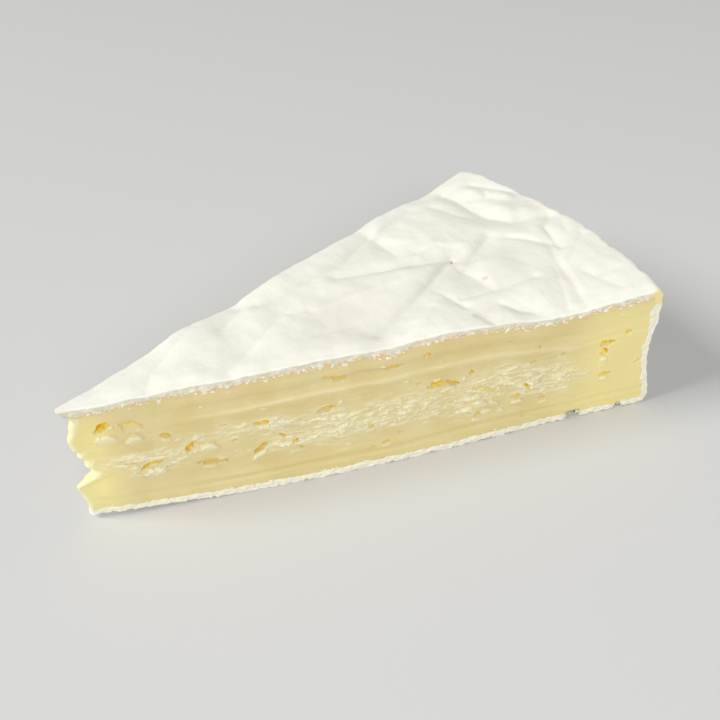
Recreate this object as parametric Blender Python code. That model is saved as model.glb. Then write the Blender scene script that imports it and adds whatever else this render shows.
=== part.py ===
"""A wedge of soft white-rind cheese, cut from a round wheel: one solid of paste in its thin rind.

Metres, +Z up. The wedge lies along X with its torn point at -X and its curved heel at +X, and rests on
its flat base at Z = 0. Shapes are worked out in wheel coordinates, whose X = Y = 0 is the centre of the
wheel, and the finished wedge is then moved so that the middle of its base box is the origin.
"""

import math
import random

import bmesh
import bpy
from mathutils import Vector, noise
from mathutils.geometry import delaunay_2d_cdt

MM = 0.001

# Driving sizes
WHEEL_RADIUS = 141.3 * MM
HALF_ANGLE = math.radians(16.25)
HEIGHT = 33.5 * MM
RIND_THICKNESS = 1.8 * MM
SHOULDER_RADIUS = 1.8 * MM
FOOT_RADIUS = 3.2 * MM
HEEL_WAIST = 1.9 * MM
HEEL_LEAN = 0.9 * MM
FOOT_BOW = 1.5 * MM
FOOT_TUCK = 1.2 * MM
FOOT_TUCK_LENGTH = 45 * MM
FAR_TOP_BOW = 1.2 * MM
POINT_LIFT = 1.3 * MM
POINT_LIFT_LENGTH = 40 * MM
TOP_EDGE_DROP = 0.4 * MM

# Spacing of the surface points
FACE_STEP = 1.85 * MM
HEEL_STEP = 2.3 * MM
TOP_STEP = 2.25 * MM
BASE_STEP = 6.5 * MM
NOSE_POINTS = 4
RIND_LEVELS = (0.0, 0.8 * MM, RIND_THICKNESS)
PASTE_LEVELS = 16

# The torn point: height, and where it ends along the middle line
TORN_POINT = (
    (0.0 * MM, 2.6 * MM),
    (5.5 * MM, 2.5 * MM),
    (9.5 * MM, 1.9 * MM),
    (11.7 * MM, 4.6 * MM),
    (14.3 * MM, 5.9 * MM),
    (17.5 * MM, 4.6 * MM),
    (20.0 * MM, 3.4 * MM),
    (24.3 * MM, 2.6 * MM),
    (27.0 * MM, 3.4 * MM),
    (30.2 * MM, 4.4 * MM),
    (32.2 * MM, 2.4 * MM),
    (HEIGHT, 2.1 * MM),
)

# Valleys in the top rind, in mm: points of the line, depths at its start and end, widths to left and right
TOP_CREASES = (
    (((20.5, -5.0), (23.2, 0.0), (37.8, 11.0)), 0.22, 0.30, 1.0, 0.8),
    (((37.5, -8.6), (57.5, 3.4), (63.0, 1.5)), 0.40, 0.30, 2.2, 1.2),
    (((43.5, 6.4), (54.5, 15.4), (64.5, 21.0)), 0.40, 0.50, 1.6, 1.2),
    (((54.5, 10.6), (68.0, 12.6), (91.0, 20.0)), 0.35, 0.75, 2.6, 1.2),
    (((92.4, 26.5), (93.0, 11.0)), 0.80, 0.45, 1.0, 2.6),
    (((76.0, 10.6), (103.2, 0.5)), 0.45, 0.95, 2.8, 1.5),
    (((103.2, 0.5), (72.0, -15.6)), 0.95, 0.60, 1.4, 2.4),
    (((103.2, 0.5), (102.2, -5.0), (103.5, -12.0)), 0.95, 0.80, 1.0, 4.0),
    (((103.5, -4.6), (117.5, 4.6)), 0.70, 0.50, 1.3, 1.8),
    (((95.5, -14.8), (115.5, -17.0)), 0.50, 0.45, 1.2, 1.2),
    (((95.0, -20.5), (104.0, -26.5), (108.5, -29.5)), 0.25, 0.45, 1.2, 2.0),
    (((121.8, 32.0), (123.6, 11.8), (127.0, 7.0), (137.0, 4.0)), 0.70, 0.70, 1.4, 2.6),
    (((137.0, 3.6), (132.5, 0.5), (129.0, -10.0)), 0.50, 0.50, 1.0, 1.2),
    (((128.6, -6.0), (122.5, -17.2), (115.5, -35.0)), 0.60, 0.45, 1.6, 1.6),
    (((123.2, 3.2), (128.6, -6.0)), 0.35, 0.60, 1.6, 1.0),
    (((112.0, 27.0), (120.0, 10.0)), 0.35, 0.30, 3.0, 3.0),
    (((97.5, 7.3), (103.0, 7.0), (107.0, 3.0)), 0.35, 0.25, 1.0, 1.4),
)
CREASE_FLOOR = 0.45 * MM
CREASE_BLEND = 3.0

# Rounded rises and dips of the top rind, in mm: X, Y, radius, height
TOP_RISES = (
    (84.0, 0.0, 11.0, 0.5),
    (109.0, -8.0, 5.5, 0.8),
    (107.0, 6.0, 5.0, 0.3),
    (129.0, 25.5, 3.0, 0.7),
    (130.2, 14.5, 3.6, 0.8),
    (84.0, -17.0, 6.0, 0.4),
    (34.0, 10.5, 8.0, 1.2),
    (49.5, 14.5, 3.0, -0.5),
    (61.0, 18.0, 5.0, 0.7),
    (100.0, 28.0, 9.0, 0.5),
    (117.0, 33.5, 6.0, -0.9),
    (110.0, -32.0, 12.0, -1.7),
)

# Hollows in the near cut face, in mm: distance from the wheel's centre, height, half sizes, depth
NEAR_HOLLOWS = (
    (10.2, 26.4, 1.7, 1.4, 1.6),
    (16.3, 25.2, 2.5, 2.0, 1.1),
    (15.8, 21.2, 2.0, 1.8, 0.9),
    (17.5, 12.6, 4.4, 2.4, 1.5),
    (27.6, 15.6, 1.7, 1.5, 1.6),
    (32.0, 11.0, 3.0, 1.1, 1.4),
    (43.0, 11.8, 2.4, 1.5, 1.3),
    (44.4, 19.2, 1.6, 1.1, 1.3),
    (50.6, 12.4, 1.7, 1.6, 1.3),
    (61.5, 27.2, 3.0, 1.0, 1.2),
    (59.3, 19.6, 1.9, 1.2, 1.4),
    (86.5, 18.6, 3.9, 1.8, 1.9),
    (96.0, 15.2, 2.6, 1.6, 1.3),
    (97.0, 9.2, 3.2, 2.2, 1.2),
    (105.2, 10.2, 1.7, 1.7, 1.3),
    (108.0, 14.0, 1.6, 1.7, 1.3),
    (127.5, 20.2, 1.7, 2.2, 1.7),
    (127.8, 11.9, 1.5, 1.1, 1.1),
)
FAR_HOLLOW_COUNT = 16
FAR_HOLLOW_SEED = 7

# The flaky band of the paste, between its two creamy margins, and the marks drawn along it by the knife
FLAKE_LOW = 8.0 * MM
FLAKE_HIGH = 21.5 * MM
FLAKE_START = 7.0 * MM
FLAKE_END = 123.0 * MM
FLAKE_RELIEF = 0.55 * MM
KNIFE_MARKS = (
    (26.6 * MM, 1.1 * MM, -0.35 * MM),
    (24.2 * MM, 0.9 * MM, 0.40 * MM),
    (4.6 * MM, 0.8 * MM, -0.40 * MM),
)
RIND_LIP = 0.35 * MM
CHIP_AT = 120.5 * MM
CHIP_HALF_WIDTH = 1.8 * MM
CHIP_HEIGHT = 3.2 * MM
CHIP_DEPTH = 2.2 * MM

NAME = "brie_wedge"
RIND_COLOUR = (0.90, 0.89, 0.83, 1.0)
PASTE_COLOUR = (0.83, 0.68, 0.34, 1.0)
SMOOTH_UP_TO = math.radians(50)


def smooth_step(low, high, value):
    """0 below low, 1 above high, and a smooth rise between them."""
    share = min(1.0, max(0.0, (value - low) / (high - low)))
    return share * share * (3 - 2 * share)


def bell(distance, width):
    return math.exp(-((distance / width) ** 2))


def wavy(x, y, z, size, seed):
    """Smooth noise from -1 to 1 whose waves are about size long."""
    return noise.noise(Vector((x / size + seed, y / size - seed, z / size + 2 * seed)))


def torn_reach(height):
    """Where the torn point ends along the middle line, at this height."""
    for (z0, reach0), (z1, reach1) in zip(TORN_POINT, TORN_POINT[1:]):
        if height <= z1:
            return reach0 + (reach1 - reach0) * smooth_step(z0, z1, height)
    return TORN_POINT[-1][1]


def quarter_round(radius, rise):
    """How far a rounded edge has drawn in, this far up its quarter circle."""
    rise = min(radius, max(0.0, rise))
    return radius - math.sqrt(radius**2 - rise**2)


def heel_radius(angle, height):
    """The wheel's outer radius: a waisted, crinkled side with a round shoulder and foot."""
    share = height / HEIGHT
    inset = HEEL_WAIST * math.sin(math.pi * share) ** 2 + HEEL_LEAN * (1 - share)
    inset += quarter_round(SHOULDER_RADIUS, height - HEIGHT + SHOULDER_RADIUS)
    inset += quarter_round(FOOT_RADIUS, FOOT_RADIUS - height)
    x = WHEEL_RADIUS * math.cos(angle)
    y = WHEEL_RADIUS * math.sin(angle)
    crinkle = 0.6 * MM * wavy(x, y, height, 6 * MM, 3.1) + 0.7 * MM * wavy(x, y, height, 17 * MM, 5.3)
    return WHEEL_RADIUS - inset + crinkle * smooth_step(0, FOOT_RADIUS, height)


def nearest_on_line(x, y, points):
    """Distance to a line of points, the share of it gone there, and on which side the place lies."""
    lengths = [math.dist(start, end) for start, end in zip(points, points[1:])]
    best = (math.inf, 0.0, 0.0)
    gone = 0.0
    for (x0, y0), (x1, y1), length in zip(points, points[1:], lengths):
        run_x, run_y = (x1 - x0) / length, (y1 - y0) / length
        along = min(length, max(0.0, (x - x0) * run_x + (y - y0) * run_y))
        distance = math.hypot(x - x0 - run_x * along, y - y0 - run_y * along)
        side = run_x * (y - y0) - run_y * (x - x0)
        if distance < best[0]:
            best = (distance, (gone + along) / sum(lengths), side)
        gone += length
    return best


def crease_depth(x, y, crease):
    """The depth of one valley at a point of the top rind: sharp along its line, steeper on one side."""
    points, start_depth, end_depth, left_width, right_width = crease
    points = [(point_x * MM, point_y * MM) for point_x, point_y in points]
    distance, share, side = nearest_on_line(x, y, points)
    width = (left_width if side > 0 else right_width) * MM
    fall = math.hypot(distance, CREASE_FLOOR) - CREASE_FLOOR
    return (start_depth + (end_depth - start_depth) * share) * MM * math.exp(-fall / width)


def top_height(x, y):
    """The height of the top rind, with its folds, over a point of the wheel."""
    depths = [crease_depth(x, y, crease) / MM for crease in TOP_CREASES]
    rise = -(sum(depth**CREASE_BLEND for depth in depths) ** (1 / CREASE_BLEND)) * MM
    for rise_x, rise_y, radius, height in TOP_RISES:
        rise += height * MM * bell(math.hypot(x - rise_x * MM, y - rise_y * MM), radius * MM)
    rise += 0.3 * MM * wavy(x, y, 0, 15 * MM, 1.7)
    from_cut = x * math.sin(HALF_ANGLE) - abs(y) * math.cos(HALF_ANGLE)
    rise -= TOP_EDGE_DROP * (1 - smooth_step(0, 3.5 * MM, from_cut))
    return HEIGHT + rise * smooth_step(0, 14 * MM, x)


def base_height(x):
    """The height of the base: flat, but lifted a little under the thin point."""
    return POINT_LIFT * (1 - smooth_step(0, POINT_LIFT_LENGTH, x))


def far_hollows():
    """Hollows of the far cut face, spread along its flaky band by a seeded draw."""
    draw = random.Random(FAR_HOLLOW_SEED)
    pitch = (FLAKE_END - FLAKE_START) / MM / FAR_HOLLOW_COUNT
    for index in range(FAR_HOLLOW_COUNT):
        along = FLAKE_START / MM + (index + draw.uniform(0.2, 0.8)) * pitch
        half_length = draw.uniform(1.5, 3.2)
        yield along, draw.uniform(10.0, 26.0), half_length, draw.uniform(1.1, 1.8), draw.uniform(1.0, 1.7)


def inside_band(value, low, high, margin):
    """1 well between low and high, falling to 0 over the margin beyond each."""
    return smooth_step(low - margin, low, value) * (1 - smooth_step(high, high + margin, value))


def cut_relief(along, height, side, hollows):
    """How far a cut face stands out from its plane: bow, knife marks, flakes, hollows, rind lip."""
    share = height / HEIGHT
    middle = math.sin(math.pi * min(1.0, along / WHEEL_RADIUS))
    foot_bow = FOOT_BOW * middle**3 - FOOT_TUCK * (1 - smooth_step(0, FOOT_TUCK_LENGTH, along))
    out = foot_bow * (1 - share) ** 1.5
    if side > 0:
        out += FAR_TOP_BOW * middle * share**2
    marked = 0.3 + 0.7 * inside_band(along, 16 * MM, 118 * MM, 10 * MM)
    for level, width, depth in KNIFE_MARKS:
        wander = 0.8 * MM * wavy(along, 0, 0, 40 * MM, side + level / MM)
        out += depth * bell(height - level - wander, width) * marked
    flaky = inside_band(height, FLAKE_LOW, FLAKE_HIGH, 2.5 * MM)
    flaky *= inside_band(along, FLAKE_START + 4 * MM, FLAKE_END - 4 * MM, 4 * MM)
    out += FLAKE_RELIEF * flaky * (abs(wavy(along, 0, height * 2.2, 4.5 * MM, 11 + side)) - 0.25)
    out += 0.25 * MM * wavy(along, 0, height, 9 * MM, 17 + side)
    for hollow in hollows:
        centre, level, half_length, half_height, depth = (value * MM for value in hollow)
        spread = math.hypot((along - centre) / half_length, (height - level) / half_height)
        out -= depth * bell(spread, 0.85)
    top_lip = smooth_step(HEIGHT - 2 * RIND_THICKNESS, HEIGHT - RIND_THICKNESS, height)
    foot_lip = 1 - smooth_step(RIND_THICKNESS, 2 * RIND_THICKNESS, height)
    out += RIND_LIP * (top_lip + foot_lip) * wavy(along, side, height, 3.5 * MM, 23)
    if side < 0:
        chip = bell(along - CHIP_AT, CHIP_HALF_WIDTH) * (1 - smooth_step(1 * MM, CHIP_HEIGHT, height))
        out -= CHIP_DEPTH * chip
    return out


def cut_face_points(side, height, start, end, hollows, count):
    """Points along one cut face at one height, from the torn point to the heel. Side is -1 or 1."""
    points = []
    for index in range(count + 1):
        along = start + (end - start) * index / count
        out = cut_relief(along, height, side, hollows) * smooth_step(0, 3 * MM, along - start)
        x = along * math.cos(HALF_ANGLE) - out * math.sin(HALF_ANGLE)
        y = side * (along * math.sin(HALF_ANGLE) + out * math.cos(HALF_ANGLE))
        points.append((x, y))
    return points


def heel_points(near_corner, far_corner, height, count):
    """Points round the heel at one height, between the two corners where it meets the cut faces."""
    near_angle = math.atan2(near_corner[1], near_corner[0])
    far_angle = math.atan2(far_corner[1], far_corner[0])
    points = []
    for index in range(1, count):
        angle = near_angle + (far_angle - near_angle) * index / count
        nearer, corner = min((angle - near_angle, near_corner), (far_angle - angle, far_corner))
        edge = smooth_step(0, 4 * MM, WHEEL_RADIUS * nearer)
        radius = math.hypot(*corner) * (1 - edge) + heel_radius(angle, height) * edge
        points.append((radius * math.cos(angle), radius * math.sin(angle)))
    return points


def nose_points(centre, height):
    """Points round the blunt, slightly rough end of the torn point, from the far face to the near one."""
    points = []
    for index in range(1, NOSE_POINTS):
        turn = (math.pi / 2 - HALF_ANGLE) * (1 - 2 * index / NOSE_POINTS)
        radius = centre * math.sin(HALF_ANGLE) + 0.25 * MM * wavy(index * 2 * MM, 0, height, 2.5 * MM, 31)
        points.append((centre - radius * math.cos(turn), radius * math.sin(turn)))
    return points


def outline(height, hollows, face_count, heel_count):
    """The wedge's plan outline at one height, anticlockwise from the near side of the torn point."""
    centre = torn_reach(height) / (1 - math.sin(HALF_ANGLE))
    start = centre * math.cos(HALF_ANGLE)
    faces = []
    for side in (-1, 1):
        end = heel_radius(side * HALF_ANGLE, height)
        faces.append(cut_face_points(side, height, start, end, hollows[side], face_count))
    near, far = faces
    heel = heel_points(near[-1], far[-1], height, heel_count)
    return near + heel + far[::-1] + nose_points(centre, height)


def level_shares():
    """The heights of the wall's rows, as shares of the full height: close together in the rind."""
    foot = [level / HEIGHT for level in RIND_LEVELS]
    first, last = foot[-1], 1 - foot[-1]
    paste = [first + (last - first) * row / PASTE_LEVELS for row in range(1, PASTE_LEVELS)]
    return foot + paste + [1 - share for share in reversed(foot)]


def wall_rows():
    """The rows of points up the walls, spread between the base and the folds of the top rind."""
    hollows = {-1: NEAR_HOLLOWS, 1: tuple(far_hollows())}
    face_count = round(WHEEL_RADIUS / FACE_STEP)
    heel_count = round(2 * HALF_ANGLE * WHEEL_RADIUS / HEEL_STEP)
    rows = []
    for share in level_shares():
        row = []
        for x, y in outline(share * HEIGHT, hollows, face_count, heel_count):
            base = base_height(x)
            row.append(Vector((x, y, base + share * (top_height(x, y) - base))))
        rows.append(row)
    return rows


def inside(x, y, plan, margin):
    """Whether a point lies inside the plan outline, at least margin from its edge."""
    crossings = 0
    for (x0, y0), (x1, y1) in zip(plan, plan[1:] + plan[:1]):
        if (y0 > y) != (y1 > y) and x < x0 + (y - y0) / (y1 - y0) * (x1 - x0):
            crossings += 1
    return crossings % 2 == 1 and nearest_on_line(x, y, plan + plan[:1])[0] > margin


def lattice_points(plan, step):
    """An even lattice of points, in rows offset by half a step, inside the plan outline."""
    row_step = step * math.sqrt(3) / 2
    last_row = round(WHEEL_RADIUS * math.sin(HALF_ANGLE) / row_step)
    points = []
    for row in range(-last_row, last_row + 1):
        for column in range(round(WHEEL_RADIUS / step) + 1):
            x = (column + 0.5 * (row % 2)) * step
            if inside(x, row * row_step, plan, 0.6 * step):
                points.append((x, row * row_step))
    return points


def add_cap(mesh, rim, step, height_at, facing_up):
    """Closes a rim of vertices with even triangles over a lattice of points spaced by step."""
    plan = [(vertex.co.x, vertex.co.y) for vertex in rim]
    lattice = lattice_points(plan, step)
    edges = [(index, (index + 1) % len(rim)) for index in range(len(rim))]
    made = delaunay_2d_cdt([Vector(point) for point in plan + lattice], edges, [], 1, 1e-7)
    vertices = list(rim) + [mesh.verts.new((x, y, height_at(x, y))) for x, y in lattice]
    sources = [vertices[origin[0]] for origin in made[3]]
    for triangle in made[2]:
        corners = [sources[index] for index in triangle]
        mesh.faces.new(corners if facing_up else corners[::-1])


def wedge_mesh():
    mesh = bmesh.new()
    rings = [[mesh.verts.new(point) for point in row] for row in wall_rows()]
    for lower, upper in zip(rings, rings[1:]):
        for index in range(len(lower)):
            after = (index + 1) % len(lower)
            mesh.faces.new((lower[index], lower[after], upper[after], upper[index]))
    add_cap(mesh, rings[0], BASE_STEP, lambda x, y: base_height(x), False)
    add_cap(mesh, rings[-1], TOP_STEP, top_height, True)
    bmesh.ops.triangulate(mesh, faces=mesh.faces, quad_method="SHORT_EDGE")
    bmesh.ops.recalc_face_normals(mesh, faces=mesh.faces)
    return mesh


def paint_rind(mesh):
    """Gives the rind its own material: the top, the base, the heel and the rind's cut edges."""
    for face in mesh.faces:
        middle = face.calc_center_median()
        in_skin = not RIND_THICKNESS < middle.z < HEIGHT - RIND_THICKNESS
        on_heel = face.normal.x > 0.8 * math.cos(HALF_ANGLE)
        face.material_index = 1 if in_skin or on_heel or face.normal.z > 0.8 else 0


def stand_on_origin(mesh):
    """Moves the wedge so that the middle of its base box is the origin."""
    xs = [vertex.co.x for vertex in mesh.verts]
    ys = [vertex.co.y for vertex in mesh.verts]
    middle = Vector(((min(xs) + max(xs)) / 2, (min(ys) + max(ys)) / 2, 0))
    bmesh.ops.translate(mesh, vec=-middle, verts=mesh.verts)


def finish(name, colour, roughness):
    material = bpy.data.materials.new(name)
    material.use_nodes = True
    shader = material.node_tree.nodes["Principled BSDF"]
    shader.inputs["Base Color"].default_value = colour
    shader.inputs["Roughness"].default_value = roughness
    shader.inputs["Metallic"].default_value = 0.0
    return material


def clear_scene():
    for thing in list(bpy.data.objects):
        bpy.data.objects.remove(thing)


def build_wedge():
    mesh = wedge_mesh()
    paint_rind(mesh)
    stand_on_origin(mesh)
    data = bpy.data.meshes.new(NAME)
    mesh.to_mesh(data)
    mesh.free()
    data.materials.append(finish("paste", PASTE_COLOUR, 0.45))
    data.materials.append(finish("rind", RIND_COLOUR, 0.85))
    data.shade_smooth()
    data.set_sharp_from_angle(angle=SMOOTH_UP_TO)
    wedge = bpy.data.objects.new(NAME, data)
    bpy.context.scene.collection.objects.link(wedge)


clear_scene()
build_wedge()
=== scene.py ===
"""A wedge of soft white-rind cheese: creamy paste in its thin folded rind, on a pale floor.

Shapes are worked out in millimetres in wheel coordinates, whose X = Y = 0 is the centre of the wheel
that the wedge was cut from. Each piece is modelled there and moved to its place at the end.
"""

import math

import bmesh
import bpy
import numpy as np
from mathutils import Euler, Matrix, Vector, noise


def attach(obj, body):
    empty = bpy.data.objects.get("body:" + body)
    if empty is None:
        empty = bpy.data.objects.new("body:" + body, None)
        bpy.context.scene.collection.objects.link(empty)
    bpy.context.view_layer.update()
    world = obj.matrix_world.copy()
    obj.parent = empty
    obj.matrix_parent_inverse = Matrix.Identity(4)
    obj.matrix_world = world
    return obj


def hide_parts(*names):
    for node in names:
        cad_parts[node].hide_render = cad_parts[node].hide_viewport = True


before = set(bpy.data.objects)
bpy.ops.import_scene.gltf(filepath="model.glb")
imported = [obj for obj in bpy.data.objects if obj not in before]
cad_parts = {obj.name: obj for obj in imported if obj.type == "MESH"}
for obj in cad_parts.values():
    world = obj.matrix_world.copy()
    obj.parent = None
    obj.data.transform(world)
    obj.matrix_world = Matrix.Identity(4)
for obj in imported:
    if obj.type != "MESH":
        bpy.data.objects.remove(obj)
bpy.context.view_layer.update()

MM = 0.001
WHEEL_CENTRE = (-71.705, -0.113)

# The wedge's own sizes, in mm, and the strength of its folds
WHEEL_RADIUS = 141.3
HALF_ANGLE = math.radians(16.25)
HEIGHT = 33.5
SHOULDER_RADIUS = 1.8
FOOT_RADIUS = 3.2
HEEL_WAIST = 1.9
HEEL_LEAN = 0.9
FOOT_BOW = 1.5
FOOT_TUCK = 1.2
FOOT_TUCK_LENGTH = 45
FAR_TOP_BOW = 1.2
POINT_LIFT = 1.3
POINT_LIFT_LENGTH = 40
TOP_EDGE_DROP = 0.4
FOLD_STRENGTH = 1.36
POINT_SWAY = 2.2
FOOT_RAGGED = 0.35
FOOT_BAND = 2.0

# Unevenness of the top, of the heel and of its fine crinkles: strength, length of the waves, seed
TOP_WAVES = ((0.45, 15, 1.7), (0.3, 6.5, 12.3), (0.12, 3.2, 8.2))
HEEL_WAVES = ((0.6, 6, 3.1), (0.7, 17, 5.3))
HEEL_CRINKLES = ((0.3, 2.6, 7.7), (0.18, 1.2, 9.9))

# The torn point: height, and where it ends along the middle line
TORN_POINT = (
    (0.0, 2.6),
    (3.4, 2.8),
    (6.1, 2.3),
    (9.5, 1.6),
    (11.4, 3.6),
    (12.5, 5.3),
    (14.3, 5.9),
    (15.6, 4.6),
    (17.9, 5.0),
    (18.9, 3.6),
    (20.4, 4.0),
    (21.3, 2.9),
    (24.0, 2.6),
    (27.0, 3.5),
    (30.2, 4.5),
    (31.2, 3.4),
    (32.2, 2.3),
    (HEIGHT, 2.1),
)

# Valleys in the top rind: points of the line, depths at its start and end, widths to left and right
TOP_CREASES = (
    (((20.5, -5.0), (23.2, 0.0), (37.8, 11.0)), 0.25, 0.35, 1.4, 1.2),
    (((37.5, -8.6), (57.5, 3.4), (63.0, 1.5)), 0.45, 0.40, 2.4, 1.8),
    (((43.5, 6.4), (54.5, 15.4), (64.5, 21.0)), 0.40, 0.55, 2.0, 1.8),
    (((54.5, 10.6), (68.0, 13.2), (82.0, 16.8), (92.5, 22.5)), 0.55, 1.0, 2.4, 1.8),
    (((92.4, 26.5), (93.0, 11.0)), 1.05, 0.60, 3.0, 6.0),
    (((76.0, 10.6), (90.0, 4.8), (103.2, 0.5)), 0.60, 1.15, 4.2, 2.2),
    (((103.2, 0.5), (88.0, -8.2), (72.0, -15.6)), 1.20, 0.75, 4.0, 1.6),
    (((91.0, -9.5), (76.0, -19.0)), 0.45, 0.20, 2.2, 1.3),
    (((102.4, -2.5), (102.2, -5.5), (103.5, -11.0)), 0.90, 1.00, 2.2, 7.0),
    (((103.5, -4.6), (117.5, 4.6)), 1.00, 0.80, 2.0, 3.0),
    (((95.5, -14.8), (106.0, -16.6), (115.5, -17.0)), 0.60, 0.60, 1.8, 1.4),
    (((95.6, -21.8), (101.3, -21.0), (103.8, -25.5), (106.3, -27.5)), 0.55, 0.90, 1.8, 2.6),
    (((121.8, 32.0), (123.6, 11.8), (127.0, 7.0), (137.0, 4.0)), 0.90, 0.85, 2.0, 5.0),
    (((137.0, 3.6), (132.5, 0.5), (129.0, -10.0)), 0.75, 0.70, 2.0, 1.5),
    (((128.6, -6.0), (124.8, -13.0), (121.0, -24.0), (116.5, -35.0)), 0.75, 0.50, 3.0, 4.0),
    (((123.0, -14.0), (118.0, -24.0), (113.5, -31.5)), 0.35, 0.30, 1.0, 1.6),
    (((121.5, 1.5), (124.5, -1.5), (129.0, -7.5)), 0.55, 0.70, 1.4, 2.4),
    (((114.7, 27.0), (121.4, 10.5)), 0.40, 0.45, 3.0, 2.0),
    (((97.5, 7.3), (103.0, 7.0), (107.0, 3.0)), 0.45, 0.35, 1.4, 1.6),
    (((91.5, -5.0), (92.8, -12.0), (94.0, -18.0)), 0.45, 0.70, 1.8, 2.4),
    (((138.5, 2.0), (135.5, -5.0)), 0.40, 0.30, 1.2, 1.2),
    (((137.5, -8.5), (125.0, -17.4)), 0.30, 0.30, 1.2, 1.2),
    (((93.8, 21.4), (108.8, 28.3)), 0.85, 0.60, 1.6, 2.4),
    (((130.6, 29.5), (136.9, 21.4)), 0.50, 0.45, 1.4, 1.8),
    (((125.0, 23.2), (129.5, 21.8), (132.0, 25.0)), 0.45, 0.30, 1.2, 1.4),
    (((126.0, -23.0), (128.2, -33.0)), 0.35, 0.20, 1.4, 2.6),
    (((128.0, -26.0), (132.8, -26.2)), 0.35, 0.25, 0.9, 0.9),
    (((123.0, -13.2), (135.0, -8.8)), 0.30, 0.25, 0.9, 0.9),
    (((60.0, -8.0), (70.0, -9.5)), 0.20, 0.15, 1.8, 1.8),
    (((29.0, 12.0), (45.5, 15.0)), 0.15, 0.30, 1.6, 1.6),
)

# Valleys and ridges: how rounded their line is, how far their two sides blend, how sharply valleys meet,
# how strong folds are at the cut edges and how far in they grow to their full depth
CREASE_FLOOR = 0.36
CREASE_SIDES = 0.5
CREASE_BLEND = 3.0
FOLDS_AT_CUT = 0.45
FOLDS_GROW = 5.0

# Rounded ridges of the top rind, given like the valleys, with the height they rise
TOP_RIDGES = (
    (((101.0, 0.3), (88.0, -1.5), (73.0, 0.5), (62.0, 1.5)), 0.80, 0.90, 3.5, 6.5),
    (((103.0, 7.5), (112.0, 3.5)), 0.35, 0.35, 2.5, 2.5),
    (((97.0, 5.9), (103.0, 9.2)), 0.55, 0.45, 2.5, 1.0),
    (((125.5, -16.0), (122.0, -26.0), (119.5, -31.0)), 0.18, 0.15, 0.9, 0.9),
    (((89.0, -14.0), (77.0, -21.0)), 0.45, 0.30, 2.5, 2.5),
    (((95.0, 19.0), (100.0, 14.0)), 0.40, 0.30, 3.5, 3.5),
    (((64.0, 17.5), (86.0, 24.0)), 0.35, 0.35, 3.0, 3.0),
    (((26.0, -3.0), (34.0, 2.0)), 0.25, 0.20, 3.0, 3.0),
)

# Rounded rises and dips of the top rind: X, Y, radius, height
TOP_RISES = (
    (93.0, 1.5, 11.0, 0.6),
    (104.0, 6.5, 3.5, 0.3),
    (118.5, 9.0, 5.0, 0.4),
    (109.0, -8.0, 5.5, 0.8),
    (107.0, 6.0, 5.0, 0.2),
    (127.8, 26.0, 3.2, 0.8),
    (128.8, 13.6, 3.6, 0.9),
    (134.4, 18.3, 2.2, 0.6),
    (124.8, 20.0, 2.6, -0.45),
    (131.2, 20.6, 2.0, -0.35),
    (125.0, 31.5, 3.0, -0.35),
    (119.0, 26.0, 3.5, 0.35),
    (134.0, 10.0, 2.0, 0.4),
    (84.0, -17.0, 6.0, 0.4),
    (34.0, 10.5, 8.0, 1.2),
    (40.5, 2.8, 4.5, 0.35),
    (53.0, 7.5, 4.0, 0.3),
    (49.5, 14.5, 3.0, -0.5),
    (61.0, 18.0, 5.0, 0.7),
    (52.0, 4.0, 7.0, 0.55),
    (69.0, -4.5, 8.0, -0.55),
    (136.0, 27.0, 7.0, 0.5),
    (100.0, 28.0, 9.0, 0.5),
    (112.0, 12.0, 5.5, 0.5),
    (117.0, 33.5, 6.0, -0.9),
    (110.0, -32.0, 12.0, -1.7),
    (101.0, -26.5, 3.5, 0.35),
    (112.0, -22.5, 5.0, 0.4),
    (128.0, -14.0, 5.0, 0.5),
    (132.0, -22.0, 4.5, 0.35),
)

# Places of the top rind that look creamier and darker, where the mould is thin and, partly, painted shade
# on fold slopes turned from the light: X, Y, radius, strength
THIN_MOULD_AND_SHADE = (
    (105.7, -16.0, 5.0, 0.4),
    (84.4, 15.6, 6.0, 0.45),
    (129.6, -9.4, 5.0, 0.35),
    (66.0, -4.0, 8.0, 0.9),
    (73.0, 0.0, 6.0, 0.4),
    (79.0, -6.5, 7.0, 0.7),
    (88.0, 16.5, 5.0, 0.6),
    (98.0, -7.5, 5.0, 0.7),
    (109.5, -10.0, 5.0, 0.7),
    (116.0, 22.0, 5.0, 0.6),
    (121.0, 12.0, 5.0, 0.5),
    (118.0, -24.0, 5.0, 0.5),
    (40.0, -1.0, 6.0, 0.4),
    (54.0, -11.0, 6.0, 0.4),
    (66.0, -14.5, 6.0, 0.5),
    (127.5, -25.0, 4.0, 0.3),
)

# Brown marks on the top rind: both ends, half width, strength
RIND_MARKS = (
    ((103.2, 0.5), (103.3, 0.6), 0.35, 1.0),
    ((104.6, -11.0), (105.2, -11.2), 0.45, 0.35),
    ((93.6, -22.2), (94.6, -27.8), 0.75, 0.3),
)

# The top corner of the near face at the heel, where the rind is gone and paste shows: X, Y, Z, reach
BARE_CORNER = (134.2, -39.0, 31.2, 2.8)
BARE_ON_TOP = 0.5

# Lumps of the heel beside that corner: height, half width, how far they stand out. Then how far they reach
CORNER_LUMPS = ((25, 1.8, 0.8), (28.6, 1.6, 0.9))
CORNER_REACH = 3.0

# Notches in the bottom rind of the near face: where each begins, is at its full depth, starts to end and
# ends, its depth, and the heights between which it fades
CHIPS = (
    (118.3, 119.2, 121.6, 122.3, 2.6, 1.4, 2.3),
    (131.4, 132.0, 133.0, 133.6, 1.2, 0.8, 1.5),
)

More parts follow.
